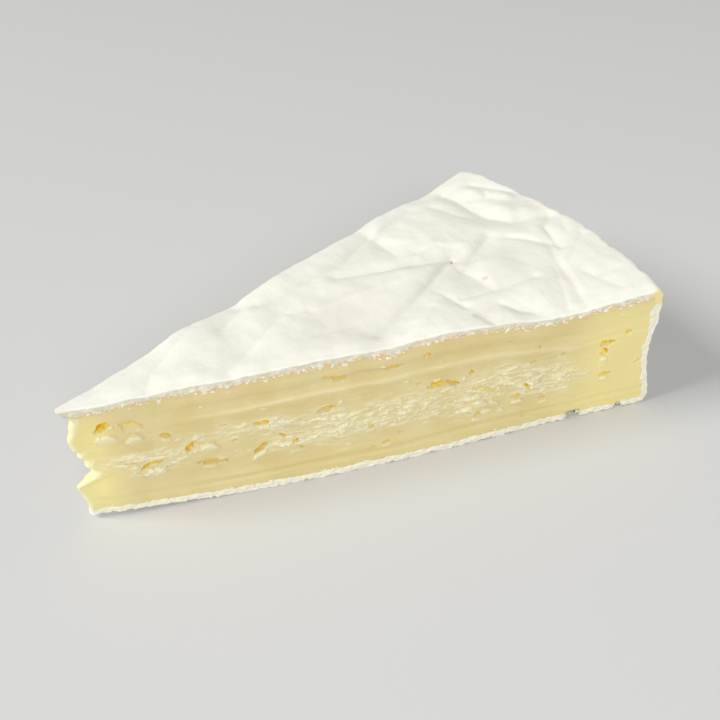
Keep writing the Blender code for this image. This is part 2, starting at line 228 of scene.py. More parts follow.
# Crumbs on each cut face: how many, and single specks of the near one (distance, height, size)
RIND_CRUMBS = 130
CURD_FLAKES = 45
CURD_SPECKS = (
    (31.4, 27.2, 0.5),
    (72.6, 28.6, 0.45),
    (62.4, 3.3, 0.5),
    (38.5, 12.5, 0.35),
    (57.0, 8.6, 0.4),
    (86.0, 25.8, 0.35),
    (131.0, 29.2, 0.4),
    (124.0, 6.4, 0.35),
)

# The blocks that paste and rind are modelled from: nominal sizes and how finely each is divided
BLOCK_START = 3.0
SKIN_DEPTH = 3.2
SKIN_CELLS = 9
SKIN_LENGTH_CELLS = 400
SKIN_HEIGHT_CELLS = 80
SKIN_ARC_STEPS = 12
SKIN_ARC_CUTS = 11
PASTE_COVER = 0.8
PASTE_LENGTH_CELLS = 640
PASTE_HEIGHT_CELLS = 142
PASTE_ARC_STEPS = 4

# How far in from a cut face its relief is still felt, and the share of the way out where the heel's
# crinkles begin
CUT_SPREAD = 6.0
OUTER_SHARE = 0.96

# How far the paste draws back where it is hidden: in height, as a share of it, then in mm at the heel and
# under the rind's cut edge
PASTE_SINK = 0.13
HEEL_GAP = 1.2
RIND_GAP = 0.9

# The values that the vertices of the paste keep for its material, and the distance beyond its inner line
# that the rind keeps for vertices away from the cut faces
PASTE_MASKS = ("painted_hole_glow", "chalk_and_highlight", "flaky", "tan", "lemon", "along", "level")
DEEP_IN_RIND = -9.0

# How near counts as the same point, and as on a line or a face of a block
WELD = 0.001
ON_LINE = 0.01
ON_FACE = 0.02

# Angles: how near counts as on a cut face and on its edge, the least turn round the axis that counts,
# and the sharpest bend that is still shaded smooth
ON_CUT = 1e-4
ON_CUT_EDGE = 1e-5
LEAST_TURN = math.radians(0.02)
SMOOTH_UP_TO = math.radians(70)


def smooth_step(low, high, value):
    """0 below low, 1 above high, and a smooth rise between them."""
    share = np.clip((value - low) / (high - low), 0, 1)
    return share * share * (3 - 2 * share)


def bell(distance, width):
    return np.exp(-((distance / width) ** 2))


def wavy(x, y, z, size, seed):
    """Smooth noise from -1 to 1 whose waves are about size long."""
    x, y, z = np.broadcast_arrays(x / size + seed, y / size - seed, z / size + 2 * seed)
    places = zip(x.ravel().tolist(), y.ravel().tolist(), z.ravel().tolist())
    return np.fromiter(map(noise.noise, places), float, x.size).reshape(x.shape)


def waves(x, y, z, parts, shift=0):
    """Noise of several sizes added up, each given as its strength, size and seed."""
    return sum(strength * wavy(x, y, z, size, seed + shift) for strength, size, seed in parts)


def inside_band(value, low, high, margin):
    """1 well between low and high, falling to 0 over the margin beyond each."""
    return smooth_step(low - margin, low, value) * (1 - smooth_step(high, high + margin, value))


def along_profile(points, value):
    """Smoothly follows a list of (place, value) pairs."""
    result = np.full(np.shape(value), points[0][1], float)
    for (place0, value0), (place1, value1) in zip(points, points[1:]):
        result += (value1 - value0) * smooth_step(place0, place1, value)
    return result


def quarter_round(radius, rise):
    """How far a rounded edge has drawn in, this far up its quarter circle."""
    return radius - np.sqrt(radius**2 - np.clip(rise, 0, radius) ** 2)


def heel_radius(angle, height):
    """The wheel's outer radius: a waisted, crinkled side with a round shoulder and foot."""
    share = height / HEIGHT
    inset = HEEL_WAIST * np.sin(np.pi * share) ** 2 + HEEL_LEAN * (1 - share)
    inset += quarter_round(SHOULDER_RADIUS, height - HEIGHT + SHOULDER_RADIUS)
    inset += quarter_round(FOOT_RADIUS, FOOT_RADIUS - height)
    x = WHEEL_RADIUS * np.cos(angle)
    y = WHEEL_RADIUS * np.sin(angle)
    return WHEEL_RADIUS - inset + waves(x, y, height, HEEL_WAVES) * smooth_step(0, FOOT_RADIUS, height)


def nose_start(angle, height):
    """How far from the wheel's centre the torn, rounded point begins, in this direction."""
    centre = along_profile(TORN_POINT, height) / (1 - math.sin(HALF_ANGLE))
    radius = centre * math.sin(HALF_ANGLE)
    inside = np.maximum(radius**2 - (centre * np.sin(angle)) ** 2, 0)
    return centre * np.cos(angle) - np.sqrt(inside)


def crease_depth(x, y, crease):
    """The depth of one valley: sharp along its line, steeper on one side."""
    points, start_depth, end_depth, left_width, right_width = crease
    lengths = [math.dist(start, end) for start, end in zip(points, points[1:])]
    nearest = np.full(x.shape, np.inf)
    share = np.zeros(x.shape)
    side = np.zeros(x.shape)
    gone = 0.0
    for (x0, y0), (x1, y1), length in zip(points, points[1:], lengths):
        run_x, run_y = (x1 - x0) / length, (y1 - y0) / length
        along = np.clip((x - x0) * run_x + (y - y0) * run_y, 0, length)
        distance = np.hypot(x - x0 - run_x * along, y - y0 - run_y * along)
        closer = distance < nearest
        nearest = np.where(closer, distance, nearest)
        share = np.where(closer, (gone + along) / sum(lengths), share)
        side = np.where(closer, run_x * (y - y0) - run_y * (x - x0), side)
        gone += length
    leftness = 1 / (1 + np.exp(-np.clip(side / CREASE_SIDES, -50, 50)))
    width = right_width + (left_width - right_width) * leftness
    fall = np.hypot(nearest, CREASE_FLOOR) - CREASE_FLOOR
    return (start_depth + (end_depth - start_depth) * share) * np.exp(-fall / width)


def fold_depth(x, y):
    """How deep the valleys of the top rind are here, all together."""
    total = sum(crease_depth(x, y, crease) ** CREASE_BLEND for crease in TOP_CREASES)
    return FOLD_STRENGTH * total ** (1 / CREASE_BLEND)


def top_height(x, y):
    """The height of the top rind, with its folds, over a point of the wheel."""
    from_cut = x * math.sin(HALF_ANGLE) - np.abs(y) * math.cos(HALF_ANGLE)
    rise = -fold_depth(x, y)
    for ridge in TOP_RIDGES:
        rise += crease_depth(x, y, ridge)
    rise *= FOLDS_AT_CUT + (1 - FOLDS_AT_CUT) * smooth_step(0, FOLDS_GROW, from_cut)
    for rise_x, rise_y, radius, height in TOP_RISES:
        rise += height * bell(np.hypot(x - rise_x, y - rise_y), radius)
    rise += waves(x, y, 0, TOP_WAVES)
    rise -= TOP_EDGE_DROP * (1 - smooth_step(0, 3.5, from_cut))
    return HEIGHT + rise * smooth_step(0, 14, x)


def base_height(x):
    """The height of the base: flat, but lifted a little under the thin point."""
    return POINT_LIFT * (1 - smooth_step(0, POINT_LIFT_LENGTH, x))


# Marks that the knife drew along the creamy margins: height, half width above and below, relief.
# One of them is the ridge over the flaky band, which sinks towards the heel; a highlight is painted along
# its crest.
RIDGE_LEVEL = 24.4
RIDGE_SAG = 2.2
KNIFE_MARKS = (
    (29.4, 1.0, 1.4, 0.22),
    (26.9, 1.2, 1.2, -0.34),
    (RIDGE_LEVEL, 0.7, 2.0, 0.38),
    (6.2, 1.2, 0.9, 0.22),
    (4.5, 0.8, 0.6, -0.34),
)

# A swelling low on the point of both cut faces: distance, height, half length, half height, relief
POINT_SWELLING = (8, 7, 4.5, 4.0, 0.9)

# The flaky band of the far face, the flecks torn from both, and the layers they tore in: how thick a
# layer is, how far its ledge stands out and how pale its rim is, chalky and with a painted highlight
FLAKE_LOW = 8.0
FLAKE_HIGH = 18.5
FLAKE_START = 5.0
FLAKE_END = 121.0
FLECK_COUNT = 1300
FLECK_START = 7.0
FLECK_END = 124.0
SHEET_EVERY = 12
LAYER = 1.6
LEDGE = 0.26
FINE_LAYER = 0.8
FINE_LEDGE = 0.16
RIM_CHALK_AND_HIGHLIGHT = 0.42

# Holes and flakes of the far face: where they begin, how many there are, and how far apart
FAR_START = 8
FAR_HOLES = 40
FAR_HOLE_GAP = 3.1
FAR_FLAKES = 34
FAR_FLAKE_GAP = 3.6

# Unevenness of the rims of holes and flakes, of the rind's inner line and of its cut edge, given as
# that of the top
RIM_WAVES = ((1.0, 1.3, 41), (0.7, 0.65, 43))
INNER_WAVES = ((0.5, 3.0, 81), (0.42, 1.1, 83))
EDGE_WAVES = ((0.22, 1.7, 91), (0.2, 0.75, 93))

# Where the near cut face is torn into flakes: distance, height, half length, half height, strength
NEAR_TORN = (
    (16.5, 15.6, 9.0, 2.4, 1.1),
    (19.0, 12.0, 4.5, 2.2, 0.8),
    (29.0, 16.0, 4.5, 2.6, 0.6),
    (36.0, 19.5, 6.0, 2.0, 0.6),
    (44.5, 19.2, 7.0, 2.2, 0.7),
    (54.0, 16.5, 9.0, 4.4, 0.85),
    (36.0, 12.0, 5.0, 3.0, 0.3),
    (84.0, 10.5, 8.0, 2.6, 0.35),
    (58.0, 9.0, 8.0, 2.2, 0.3),
    (49.5, 12.5, 4.0, 2.6, 0.7),
    (66.0, 14.0, 10.0, 4.2, 0.85),
    (79.0, 16.0, 9.0, 4.4, 0.7),
    (92.5, 13.0, 6.5, 4.4, 0.9),
    (100.0, 18.5, 7.0, 3.0, 0.8),
    (112.5, 15.0, 9.5, 5.2, 1.1),
)

# Holes in the near cut face: distance from the wheel's centre, height, half length, half height,
# turn in degrees, depth
NEAR_HOLES = (
    (10.4, 26.7, 1.5, 1.0, 40, 1.7),
    (9.3, 25.8, 1.1, 0.6, 10, 1.5),
    (16.2, 25.4, 2.3, 1.3, -20, 0.74),
    (22.8, 21.1, 0.9, 0.6, -30, 1.6),
    (35.6, 20.8, 0.5, 0.4, 20, 1.0),
    (27.4, 16.0, 1.3, 0.9, 55, 2.2),
    (28.6, 17.1, 1.2, 0.5, 5, 1.5),
    (18.6, 13.4, 2.0, 0.6, 10, 2.0),
    (16.6, 12.5, 1.3, 0.6, 35, 1.8),
    (14.2, 14.8, 0.9, 0.25, 0, 1.4),
    (31.9, 10.8, 2.9, 0.62, -6, 2.2),
    (44.2, 19.3, 1.6, 0.65, -4, 2.0),
    (42.8, 12.2, 1.9, 0.6, 32, 2.2),
    (48.3, 14.7, 1.1, 0.35, -40, 1.5),
    (51.0, 12.3, 0.6, 0.7, 0, 1.8),
    (52.1, 10.3, 0.6, 0.3, -55, 1.3),
    (37.4, 16.0, 0.6, 0.3, 10, 1.2),
    (60.2, 27.9, 1.4, 0.35, -14, 1.4),
    (62.8, 27.1, 1.6, 0.55, -4, 1.8),
    (58.8, 19.6, 1.6, 0.7, 4, 2.3),
    (69.2, 11.9, 1.6, 0.3, 6, 1.4),
    (72.2, 6.6, 1.0, 0.35, 4, 1.3),
    (69.0, 5.7, 0.5, 0.25, 10, 1.0),
    (74.9, 27.4, 1.7, 0.5, -3, 1.7),
    (83.1, 28.4, 0.75, 0.7, 0, 1.6),
    (80.6, 20.8, 0.4, 0.3, 0, 1.0),
    (85.6, 19.4, 2.6, 0.8, 8, 2.2),
    (89.4, 18.8, 1.4, 0.5, -22, 2.0),
    (93.6, 20.7, 0.35, 0.75, 0, 1.5),
    (95.8, 15.6, 1.9, 1.0, -12, 0.74),
    (98.0, 14.6, 1.0, 0.8, -40, 0.8),
    (107.6, 14.2, 1.1, 0.45, -35, 1.7),
    (108.6, 12.8, 0.7, 0.35, -10, 1.4),
    (104.9, 11.2, 1.1, 0.55, 5, 1.7),
    (94.9, 8.3, 0.6, 0.35, 10, 1.4),
    (103.1, 27.5, 0.45, 0.35, 0, 1.1),
    (110.6, 25.3, 0.35, 0.25, 0, 0.9),
    (108.8, 20.9, 0.7, 0.35, 15, 1.2),
    (116.5, 21.8, 0.6, 0.3, -30, 1.1),
    (111.9, 8.9, 0.8, 0.45, -10, 1.4),
    (107.2, 4.3, 0.9, 0.25, 0, 1.0),
    (127.7, 21.4, 1.5, 0.85, 0, 2.0),
    (127.4, 18.9, 0.7, 1.3, 10, 1.8),
    (127.9, 11.9, 1.3, 0.55, 0, 1.5),
    (132.9, 23.2, 0.8, 0.55, 20, 1.4),
    (136.9, 13.6, 1.2, 0.25, 25, 1.2),
    (75.6, 8.4, 0.4, 0.25, 0, 0.9),
    (77.6, 4.3, 0.4, 0.25, 0, 0.9),
    (88.8, 13.4, 0.4, 0.3, 0, 0.9),
)

# Pale flakes that stand proud of the near cut face, sharp along their upper edge: distance, height,
# half length, how far down they fade, turn in degrees, relief
NEAR_FLAKES = (
    (10.8, 24.6, 2.5, 2.7, -8, 0.65),
    (11.9, 27.0, 1.2, 0.8, -15, 0.4),
    (15.9, 22.9, 2.2, 2.5, 12, 0.8),
    (23.0, 20.2, 1.0, 1.0, -10, 0.4),
    (25.6, 14.2, 1.7, 0.9, 12, 0.5),
    (31.5, 16.6, 2.4, 2.4, 0, 0.75),
    (18.6, 12.4, 3.0, 2.6, 14, 0.8),
    (14.6, 13.8, 1.4, 0.9, -8, 0.6),
    (16.0, 15.8, 2.6, 0.6, -6, 0.4),
    (20.2, 15.4, 1.9, 0.5, 8, 0.4),
    (31.0, 10.0, 2.0, 1.0, -8, 0.4),
    (41.9, 11.1, 2.3, 1.5, 32, 0.8),
    (49.9, 12.4, 0.8, 2.2, -45, 0.5),
    (44.0, 18.4, 1.3, 0.6, 0, 0.4),
    (62.0, 21.2, 1.0, 0.9, 40, 0.6),
    (60.2, 18.8, 1.2, 0.6, 0, 0.4),
    (44.9, 23.7, 1.2, 0.5, -12, 0.3),
    (68.6, 11.2, 1.5, 0.6, 5, 0.4),
    (71.8, 5.8, 1.1, 0.6, 5, 0.3),
    (78.1, 22.7, 1.0, 0.5, -28, 0.4),
    (85.0, 21.2, 1.2, 0.6, 25, 0.5),
    (87.6, 18.3, 2.0, 1.0, 14, 0.6),
    (91.4, 20.0, 0.7, 0.9, 60, 0.5),
    (96.0, 12.2, 2.4, 1.8, -22, 0.7),
    (99.6, 15.2, 0.7, 1.6, 60, 0.5),
    (97.0, 9.6, 1.8, 1.6, 6, 0.8),
    (94.4, 7.4, 1.2, 0.9, 0, 0.5),
    (105.2, 15.4, 1.6, 0.6, 6, 0.5),
    (105.0, 10.3, 1.7, 1.3, 4, 0.7),
    (112.0, 8.0, 1.2, 0.7, 8, 0.4),
    (127.2, 17.6, 1.3, 2.2, 0, 0.5),
    (127.8, 11.1, 1.3, 0.9, 0, 0.45),
    (118.0, 16.0, 3.0, 0.5, 3, 0.35),
    (112.6, 18.2, 2.6, 0.5, 6, 0.4),
    (115.4, 15.2, 2.2, 0.6, 10, 0.4),
    (111.2, 11.8, 1.8, 0.7, 14, 0.4),
    (119.6, 13.4, 1.6, 0.5, -6, 0.35),
    (103.6, 20.4, 1.7, 0.7, 12, 0.45),
    (101.6, 17.0, 1.4, 0.7, 24, 0.45),
    (94.4, 13.6, 2.2, 0.9, -8, 0.5),
    (92.2, 11.0, 1.5, 1.0, 20, 0.45),
    (99.4, 11.2, 1.6, 1.2, -30, 0.6),
    (100.6, 8.4, 1.2, 1.0, 10, 0.4),
    (65.0, 17.0, 2.4, 0.6, 10, 0.4),
    (71.6, 15.2, 1.9, 0.5, 14, 0.35),
    (58.0, 15.6, 2.2, 0.6, 8, 0.35),
    (76.4, 13.0, 1.6, 0.5, 12, 0.35),
    (12.8, 16.6, 2.2, 0.5, -10, 0.35),
    (22.4, 16.8, 1.6, 0.5, 16, 0.35),
    (25.0, 19.4, 1.2, 0.5, 20, 0.3),
    (116.4, 13.6, 2.6, 0.6, -4, 0.3),
)


def turned(along, height, turn):
    """How far a place lies along a line through the origin, turned by some degrees, and how far below."""
    turn = math.radians(turn)
    across = along * math.cos(turn) + height * math.sin(turn)
    return across, along * math.sin(turn) - height * math.cos(turn)


def hole_share(along, height, hole, warp):
    """1 well inside a hole of a cut face, 0 outside its ragged rim. Also how near its roof."""
    centre, level, half_length, half_height, turn = hole
    across, down = turned(along - centre, height - level, turn)
    spread = np.hypot(across / half_length, down / half_height) + 0.5 * warp
    return 1 - smooth_step(0.8, 1.2, spread), smooth_step(-0.9, 0.5, -down / half_height)


def flake_share(along, height, flake, warp):
    """How proud a flake stands, from 0 to 1: sharp along its upper edge, a lobe that thins out below."""
    centre, level, half_length, fade, turn = flake
    warp = warp * min(1, 1.0 / half_length)
    across, down = turned(along - centre, height - level, turn)
    across = across / half_length + 0.4 * warp
    ends = 1 - smooth_step(0.6, 1.15, np.abs(across))
    reach = fade * np.maximum(1 - 0.8 * across**2, 0.1) * (1 + 0.4 * warp)
    down = down - 0.5 * fade * across**2 + 0.3 * warp
    return ends * smooth_step(-0.22, 0.08, down) * np.exp(-((np.maximum(down, 0) / reach) ** 1.5))


def far_holes():
    """Holes of the far cut face, spread along its flaky band by a seeded draw."""
    draw = np.random.default_rng(7)
    for index in range(FAR_HOLES):
        along = FAR_START + (index + draw.uniform(0.1, 0.9)) * FAR_HOLE_GAP
        level = np.clip(draw.normal(15, 5.5), 5, 28)
        half_length, half_height = draw.uniform(0.4, 2.2), draw.uniform(0.3, 0.8)
        turn, depth = draw.uniform(-30, 30), draw.uniform(1.0, 2.0)
        yield along, level, half_length, half_height, turn, depth


def far_flakes():
    """Flakes of the far cut face, spread in the same way."""
    draw = np.random.default_rng(11)
    for index in range(FAR_FLAKES):
        along = FAR_START + (index + draw.uniform(0.1, 0.9)) * FAR_FLAKE_GAP
        level = np.clip(draw.normal(13.5, 5), 5, 27)
        half_length, fade = draw.uniform(0.8, 2.4), draw.uniform(0.5, 1.8)
        turn, relief = draw.uniform(-20, 20), draw.uniform(0.3, 0.7)
        yield along, level, half_length, fade, turn, relief


def flecks(side):
    """Torn flecks, and a few wider sheets, spread along the flaky band of a cut face by a seeded draw."""
    draw = np.random.default_rng(23 + side)
    for index in range(FLECK_COUNT):
        along = draw.uniform(FLECK_START, FLECK_END)
        level = draw.normal(14.8, 4.2)
        half_length = 0.45 * 4.2 ** draw.uniform(0, 1)
        fade, turn, relief = draw.uniform(0.18, 0.5), draw.normal(4, 9), draw.uniform(0.14, 0.34)
        if index % SHEET_EVERY == 0:
            half_length, fade, relief = 1.5 * half_length, 2.2 * fade, 0.2 + relief
        yield along, level, half_length, fade, turn, relief


def fleck_share(along, height, fleck, warp):
    """How proud a thin torn fleck stands, from 0 to 1: an uneven upper edge, fading below."""
    centre, level, half_length, fade, turn = fleck
    across, down = turned(along - centre, height - level, turn)
    down = down + 0.22 * warp
    ends = 1 - smooth_step(0.5, 1.2, np.abs(across / half_length) + 0.25 * warp)
    return ends * smooth_step(-0.2, 0.06, down) * np.exp(-np.maximum(down, 0) / fade)


def cut_form(along, height, side):
    """The slow shape of a cut face: its bow, and the waves that the knife left."""
    share = height / HEIGHT
    middle = np.sin(np.pi * np.clip(along / WHEEL_RADIUS, 0, 1))
    foot_bow = FOOT_BOW * middle**3 - FOOT_TUCK * (1 - smooth_step(0, FOOT_TUCK_LENGTH, along))
    out = foot_bow * (1 - share) ** 1.5
    if side > 0:
        out = out + FAR_TOP_BOW * middle * share**2
    centre, level, half_length, half_height, relief = POINT_SWELLING
    spread = np.hypot((along - centre) / half_length, (height - level) / half_height)
    return out + relief * bell(spread, 1.0) + 0.25 * wavy(along, 0, height, 9, 17 + side)


def flaky_share(along, height, side):
    """How flaky the paste is: torn along the middle band, in patches, and smooth near point and heel."""
    patch = wavy(along, 0, height * 1.5, 5, 53 + side)
    if side < 0:
        torn = np.zeros(np.shape(along))
        for centre, level, half_length, half_height, strength in NEAR_TORN:
            spread = np.hypot((along - centre) / half_length, (height - level) / half_height)
            torn += strength * bell(spread, 1.0)
        return smooth_step(0.0, 1.15, torn + 0.4 * patch)
    wander = 1.6 * wavy(along, 0, 0, 14, 51 + side)
    band = inside_band(height + wander, FLAKE_LOW, FLAKE_HIGH, 3.0)
    band = band * inside_band(along, FLAKE_START, FLAKE_END, 5.0)
    return band * smooth_step(-0.45, 0.35, patch)


def layered(level):
    """Torn layers: each comes forward as it goes up, then breaks off in a ledge. Also how near its rim."""
    share = level - np.floor(level)
    return share * (1 - smooth_step(0.8, 1.0, share)), smooth_step(0.45, 0.8, share)


def knife_line(along, level, side):
    """The height of a knife mark along a cut face: it wanders, and the ridge with the painted highlight
    sinks to the heel.
    """
    line = level + 0.5 * wavy(along, 0, 0, 26, side + level)
    if level == RIDGE_LEVEL:
        line = line - RIDGE_SAG * smooth_step(108, 126, along)
    return line


def knife_marks(along, height, side):
    """The soft ridges and grooves that the knife drew along the creamy margins."""
    out = np.zeros(np.shape(along))
    marked = 0.25 + 0.75 * inside_band(along, 38, 108, 16)
    for level, above, below, relief in KNIFE_MARKS:
        offset = height - knife_line(along, level, side)
        out = out + relief * bell(offset, np.where(offset > 0, above, below)) * marked
    return out


def ridge_crest_highlight(along, height, side):
    """How near the crest of the ridge that the knife drew over the flaky band, where a highlight is
    painted.
    """
    above = height - knife_line(along, RIDGE_LEVEL, side)
    broken = 0.7 + 0.6 * wavy(along / 3, 0, height, 1.2, 65 + side)
    return bell(above - 0.35, 0.55) * inside_band(along, 38, 114, 12) * broken


def torn_layers(along, height, side):
    """Relief of the flaky band, where the paste tore in thin layers, how pale it is, chalky and with
    painted highlights on its ledges, and how flaky.
    """
    flaky = flaky_share(along, height, side)
    bend = 0.7 * wavy(along, 0, height * 1.9, 6.5, 71 + side)
    bend = bend + 0.35 * wavy(along, 0, height * 1.8, 2.4, 73 + side)
    broken = smooth_step(-0.25, 0.3, wavy(along, 0, height * 1.8, 3.0, 79 + side))
    fine_broken = smooth_step(-0.15, 0.35, wavy(along, 0, height * 1.8, 1.6, 85 + side))
    jag = wavy(along, 0, height * 1.4, 0.9, 75 + side)
    ledges, rims = layered(height / LAYER + bend)
    fine_ledges, fine_rims = layered(height / FINE_LAYER + 2.0 * bend + 0.5 * jag)
    out = flaky * (LEDGE * ledges * broken + FINE_LEDGE * fine_ledges * fine_broken + 0.05 * jag)
    # Pale rims of the ledges: chalky curd, and a painted highlight where they catch the light
    chalk_and_highlight = flaky * np.clip(RIM_CHALK_AND_HIGHLIGHT * rims * broken + RIM_CHALK_AND_HIGHLIGHT * fine_rims * fine_broken, 0, 1)
    for fleck in flecks(side):
        centre, level, half_length, fade = fleck[:4]
        close = np.abs(along - centre) < 1.3 * half_length + 0.3
        close = np.flatnonzero(close & (np.abs(height - level) < 2.5 * fade + 0.8))
        if len(close):
            share = fleck_share(along[close], height[close], fleck[:-1], jag[close])
            out[close] += flaky[close] * fleck[-1] * share
            pale = flaky[close] ** 0.7 * share**2 * (0.6 + 2.1 * fleck[-1])
            chalk_and_highlight[close] = np.maximum(chalk_and_highlight[close], np.minimum(pale, 1))
    return out, chalk_and_highlight, flaky


def paste_relief(along, height, side):
    """Relief of the paste on a cut face, and its looks: painted glow in the roofs of holes, pale flakes
    with painted highlights, flaky band.
    """
    out = cut_form(along, height, side) + knife_marks(along, height, side)
    streak = wavy(along / 14, 0, height, 0.8, 61 + side)
    creamy = 1 - inside_band(height, 9, 19, 3)
    out = out + 0.08 * streak * creamy
    torn, chalk_and_highlight, flaky = torn_layers(along, height, side)
    out = out + torn
    # Painted highlight along the crest of the knife's ridge
    chalk_and_highlight = np.maximum(chalk_and_highlight, 0.3 * ridge_crest_highlight(along, height, side))
    warp = waves(along, 0, height, RIM_WAVES, side)
    for flake in NEAR_FLAKES if side < 0 else far_flakes():
        share = flake_share(along, height, flake[:-1], warp)
        out = out + 1.15 * flake[-1] * share
        chalk_and_highlight = np.maximum(chalk_and_highlight, min(0.25 + 0.8 * flake[-1], 0.8) * share**1.5)
    painted_hole_glow = np.zeros(np.shape(out))
    for hole in NEAR_HOLES if side < 0 else far_holes():
        inside, roof = hole_share(along, height, hole[:-1], warp)
        out = out - hole[-1] * inside * (0.25 + 0.75 * roof)
        # Painted glow: the shaded roofs of holes are coloured deep gold, for light shining through the
        # paste
        painted_hole_glow = np.maximum(painted_hole_glow, inside * (0.1 + 0.9 * roof) * min(max(hole[-1] - 0.5, 0.2), 1.0))
    return out, painted_hole_glow, chalk_and_highlight * (1 - painted_hole_glow), flaky


def paste_tints(along, height, side):
    """How tan the paste is, close under the top rind, and how lemon yellow, near point, foot and heel."""
    below = np.maximum(HEIGHT - height - rind_reach(along, height, side)[0], 0)
    patch = 0.55 + 0.5 * wavy(along, 0, height, 1.6, 63 + side) + 0.6 * wavy(along, 0, 0, 4.5, 67 + side)
    tan = np.clip(0.95 * np.exp(-below / 0.7) * patch + 0.2 * np.exp(-below / 2.6), 0, 1)
    point = 1 - smooth_step(7, 16, along)
    heel = 0.95 * smooth_step(104 + 14 * height / HEIGHT, 128, along)
    foot = 0.15 * (1 - smooth_step(5, 9, height))
    return tan, np.maximum(np.maximum(point, heel), foot) * (1 - tan)


def rind_reach(along, height, side):
    """How thick the rind's cut edge shows on a cut face: under the top, over the base, at the heel."""
    ragged = waves(along, 0, height, INNER_WAVES, side)
    slow = 0.6 * wavy(along, 0, 0, 9, 87 + side)
    top = along_profile(((4, 2.1), (60, 1.9), (130, 1.7)), along) + ragged + slow
    return top, 1.45 + 0.9 * ragged + 0.5 * slow, 1.3 + 1.2 * ragged


def skin_depth_of(along, height, side):
    """Depth below the top, above the base and inside the heel, at a place of a cut face."""
    return HEIGHT - height, height, heel_radius(side * HALF_ANGLE, height) - along


def beyond_rind(along, height, side):
    """How far a place of a cut face lies inside the rind's inner line; negative within the rind."""
    reach = rind_reach(along, height, side)
    depth = skin_depth_of(along, height, side)
    beyond = [inward - thick for inward, thick in zip(depth, reach)]
    return np.minimum(np.minimum(beyond[0], beyond[1]), beyond[2])


def rind_relief(along, height, side):
    """Relief of the rind's cut edge: rolled over at the top, crumbly, crinkled at the foot.

    Beyond its inner line it dips into the paste.
    """
    below_top = HEIGHT - height
    beyond = beyond_rind(along, height, side)
    rolled = 0.36 + 0.24 * wavy(along, 0, 0, 2.2, 97 + side)
    crumbly = np.maximum(wavy(along, 0, height, 0.6, 101 + side), 0)
    crinkle = 0.5 * wavy(along, 0, height * 1.6, 1.5, 95 + side)
    crinkle = crinkle + 0.5 * wavy(along, 0, height * 1.8, 0.7, 99 + side)
    out = cut_form(along, height, side) + 0.14
    out = out + waves(along, 0, height, EDGE_WAVES, side) * smooth_step(0.1, 0.6, below_top)
    out = out + 0.35 * crumbly * bell(beyond + 0.4, 0.45)
    out = out - rolled * np.exp(-below_top / 0.22) - 0.1 * bell(below_top - 0.75, 0.3)
    out = out + (1 - smooth_step(0.9, 1.8, height)) * (0.12 + 0.65 * crinkle)
    return out - 1.1 * np.maximum(beyond, 0)


def chip_depth(along, height, side):
    """The notches broken out of the bottom rind of the near face."""
    out = np.zeros(np.shape(along))
    if side < 0:
        for start, full, last, end, depth, low, high in CHIPS:
            chipped = smooth_step(start, full, along) * (1 - smooth_step(last, end, along))
            out = out + depth * chipped * (1 - smooth_step(low, high, height))
    return out


def foot_lift(along, side):
    """How far the ragged foot of a cut face stands off the surface under it."""
    ragged = 0.3 + 1.2 * wavy(along, 0, 0, 3.4, 31 + side) + 0.7 * wavy(along, 0, 0, 1.1, 33 + side)
    return FOOT_RAGGED * np.clip(ragged, 0, 1.5)


def deselect_everything():
    bpy.ops.object.select_all(action="DESELECT")
    bpy.context.view_layer.objects.active = None


def points_of(piece):
    places = np.empty(len(piece.data.vertices) * 3)
    piece.data.vertices.foreach_get("co", places)
    return places.reshape(-1, 3)


def set_points(piece, places):
    piece.data.vertices.foreach_set("co", places.astype(np.float32).ravel())
    piece.data.update()


def select_faces(piece, chosen):
    """Selects the faces whose middle satisfies the test, in face mode."""
    bpy.ops.mesh.select_mode(type="FACE")
    bpy.ops.mesh.select_all(action="DESELECT")
    mesh = bmesh.from_edit_mesh(piece.data)
    for face in mesh.faces:
        face.select_set(bool(chosen(face.calc_center_median())))
    bmesh.update_edit_mesh(piece.data)


def select_edges(piece, chosen):
    """Selects the edges whose two ends satisfy the test, in edge mode."""
    bpy.ops.mesh.select_mode(type="EDGE")
    bpy.ops.mesh.select_all(action="DESELECT")
    mesh = bmesh.from_edit_mesh(piece.data)
    for edge in mesh.edges:
        if chosen(*[vertex.co for vertex in edge.verts]):
            edge.select_set(True)
    bmesh.update_edit_mesh(piece.data)


def turn_through_wedge(steps, start, turn):
    """Spins the upright section about the wheel's axis, from a start angle on through a turn."""
    bpy.ops.mesh.select_all(action="SELECT")
    bpy.ops.transform.rotate(value=-start, orient_axis="Z", center_override=(0, 0, 0))
    bpy.ops.mesh.spin(steps=steps, angle=-turn, center=(0, 0, 0), axis=(0, 0, 1))
    bpy.ops.mesh.select_all(action="SELECT")
    bpy.ops.mesh.remove_doubles(threshold=WELD)
    bpy.ops.mesh.normals_make_consistent(inside=False)


def block_places(piece):
    """Nominal distance from the wheel's axis, angle and height of each vertex of a spun block."""
    x, y, z = points_of(piece).T
    return np.hypot(x, y), np.clip(np.arctan2(y, x), -HALF_ANGLE, HALF_ANGLE), z


def rounded_out(radius, angle):
    """The distance from the wheel's axis that points on the straight chords of the spin stand for."""
    step = 2 * HALF_ANGLE / SKIN_ARC_STEPS
    from_middle = np.abs((angle + HALF_ANGLE) % step - step / 2)
    return radius * np.cos(from_middle) / math.cos(step / 2)


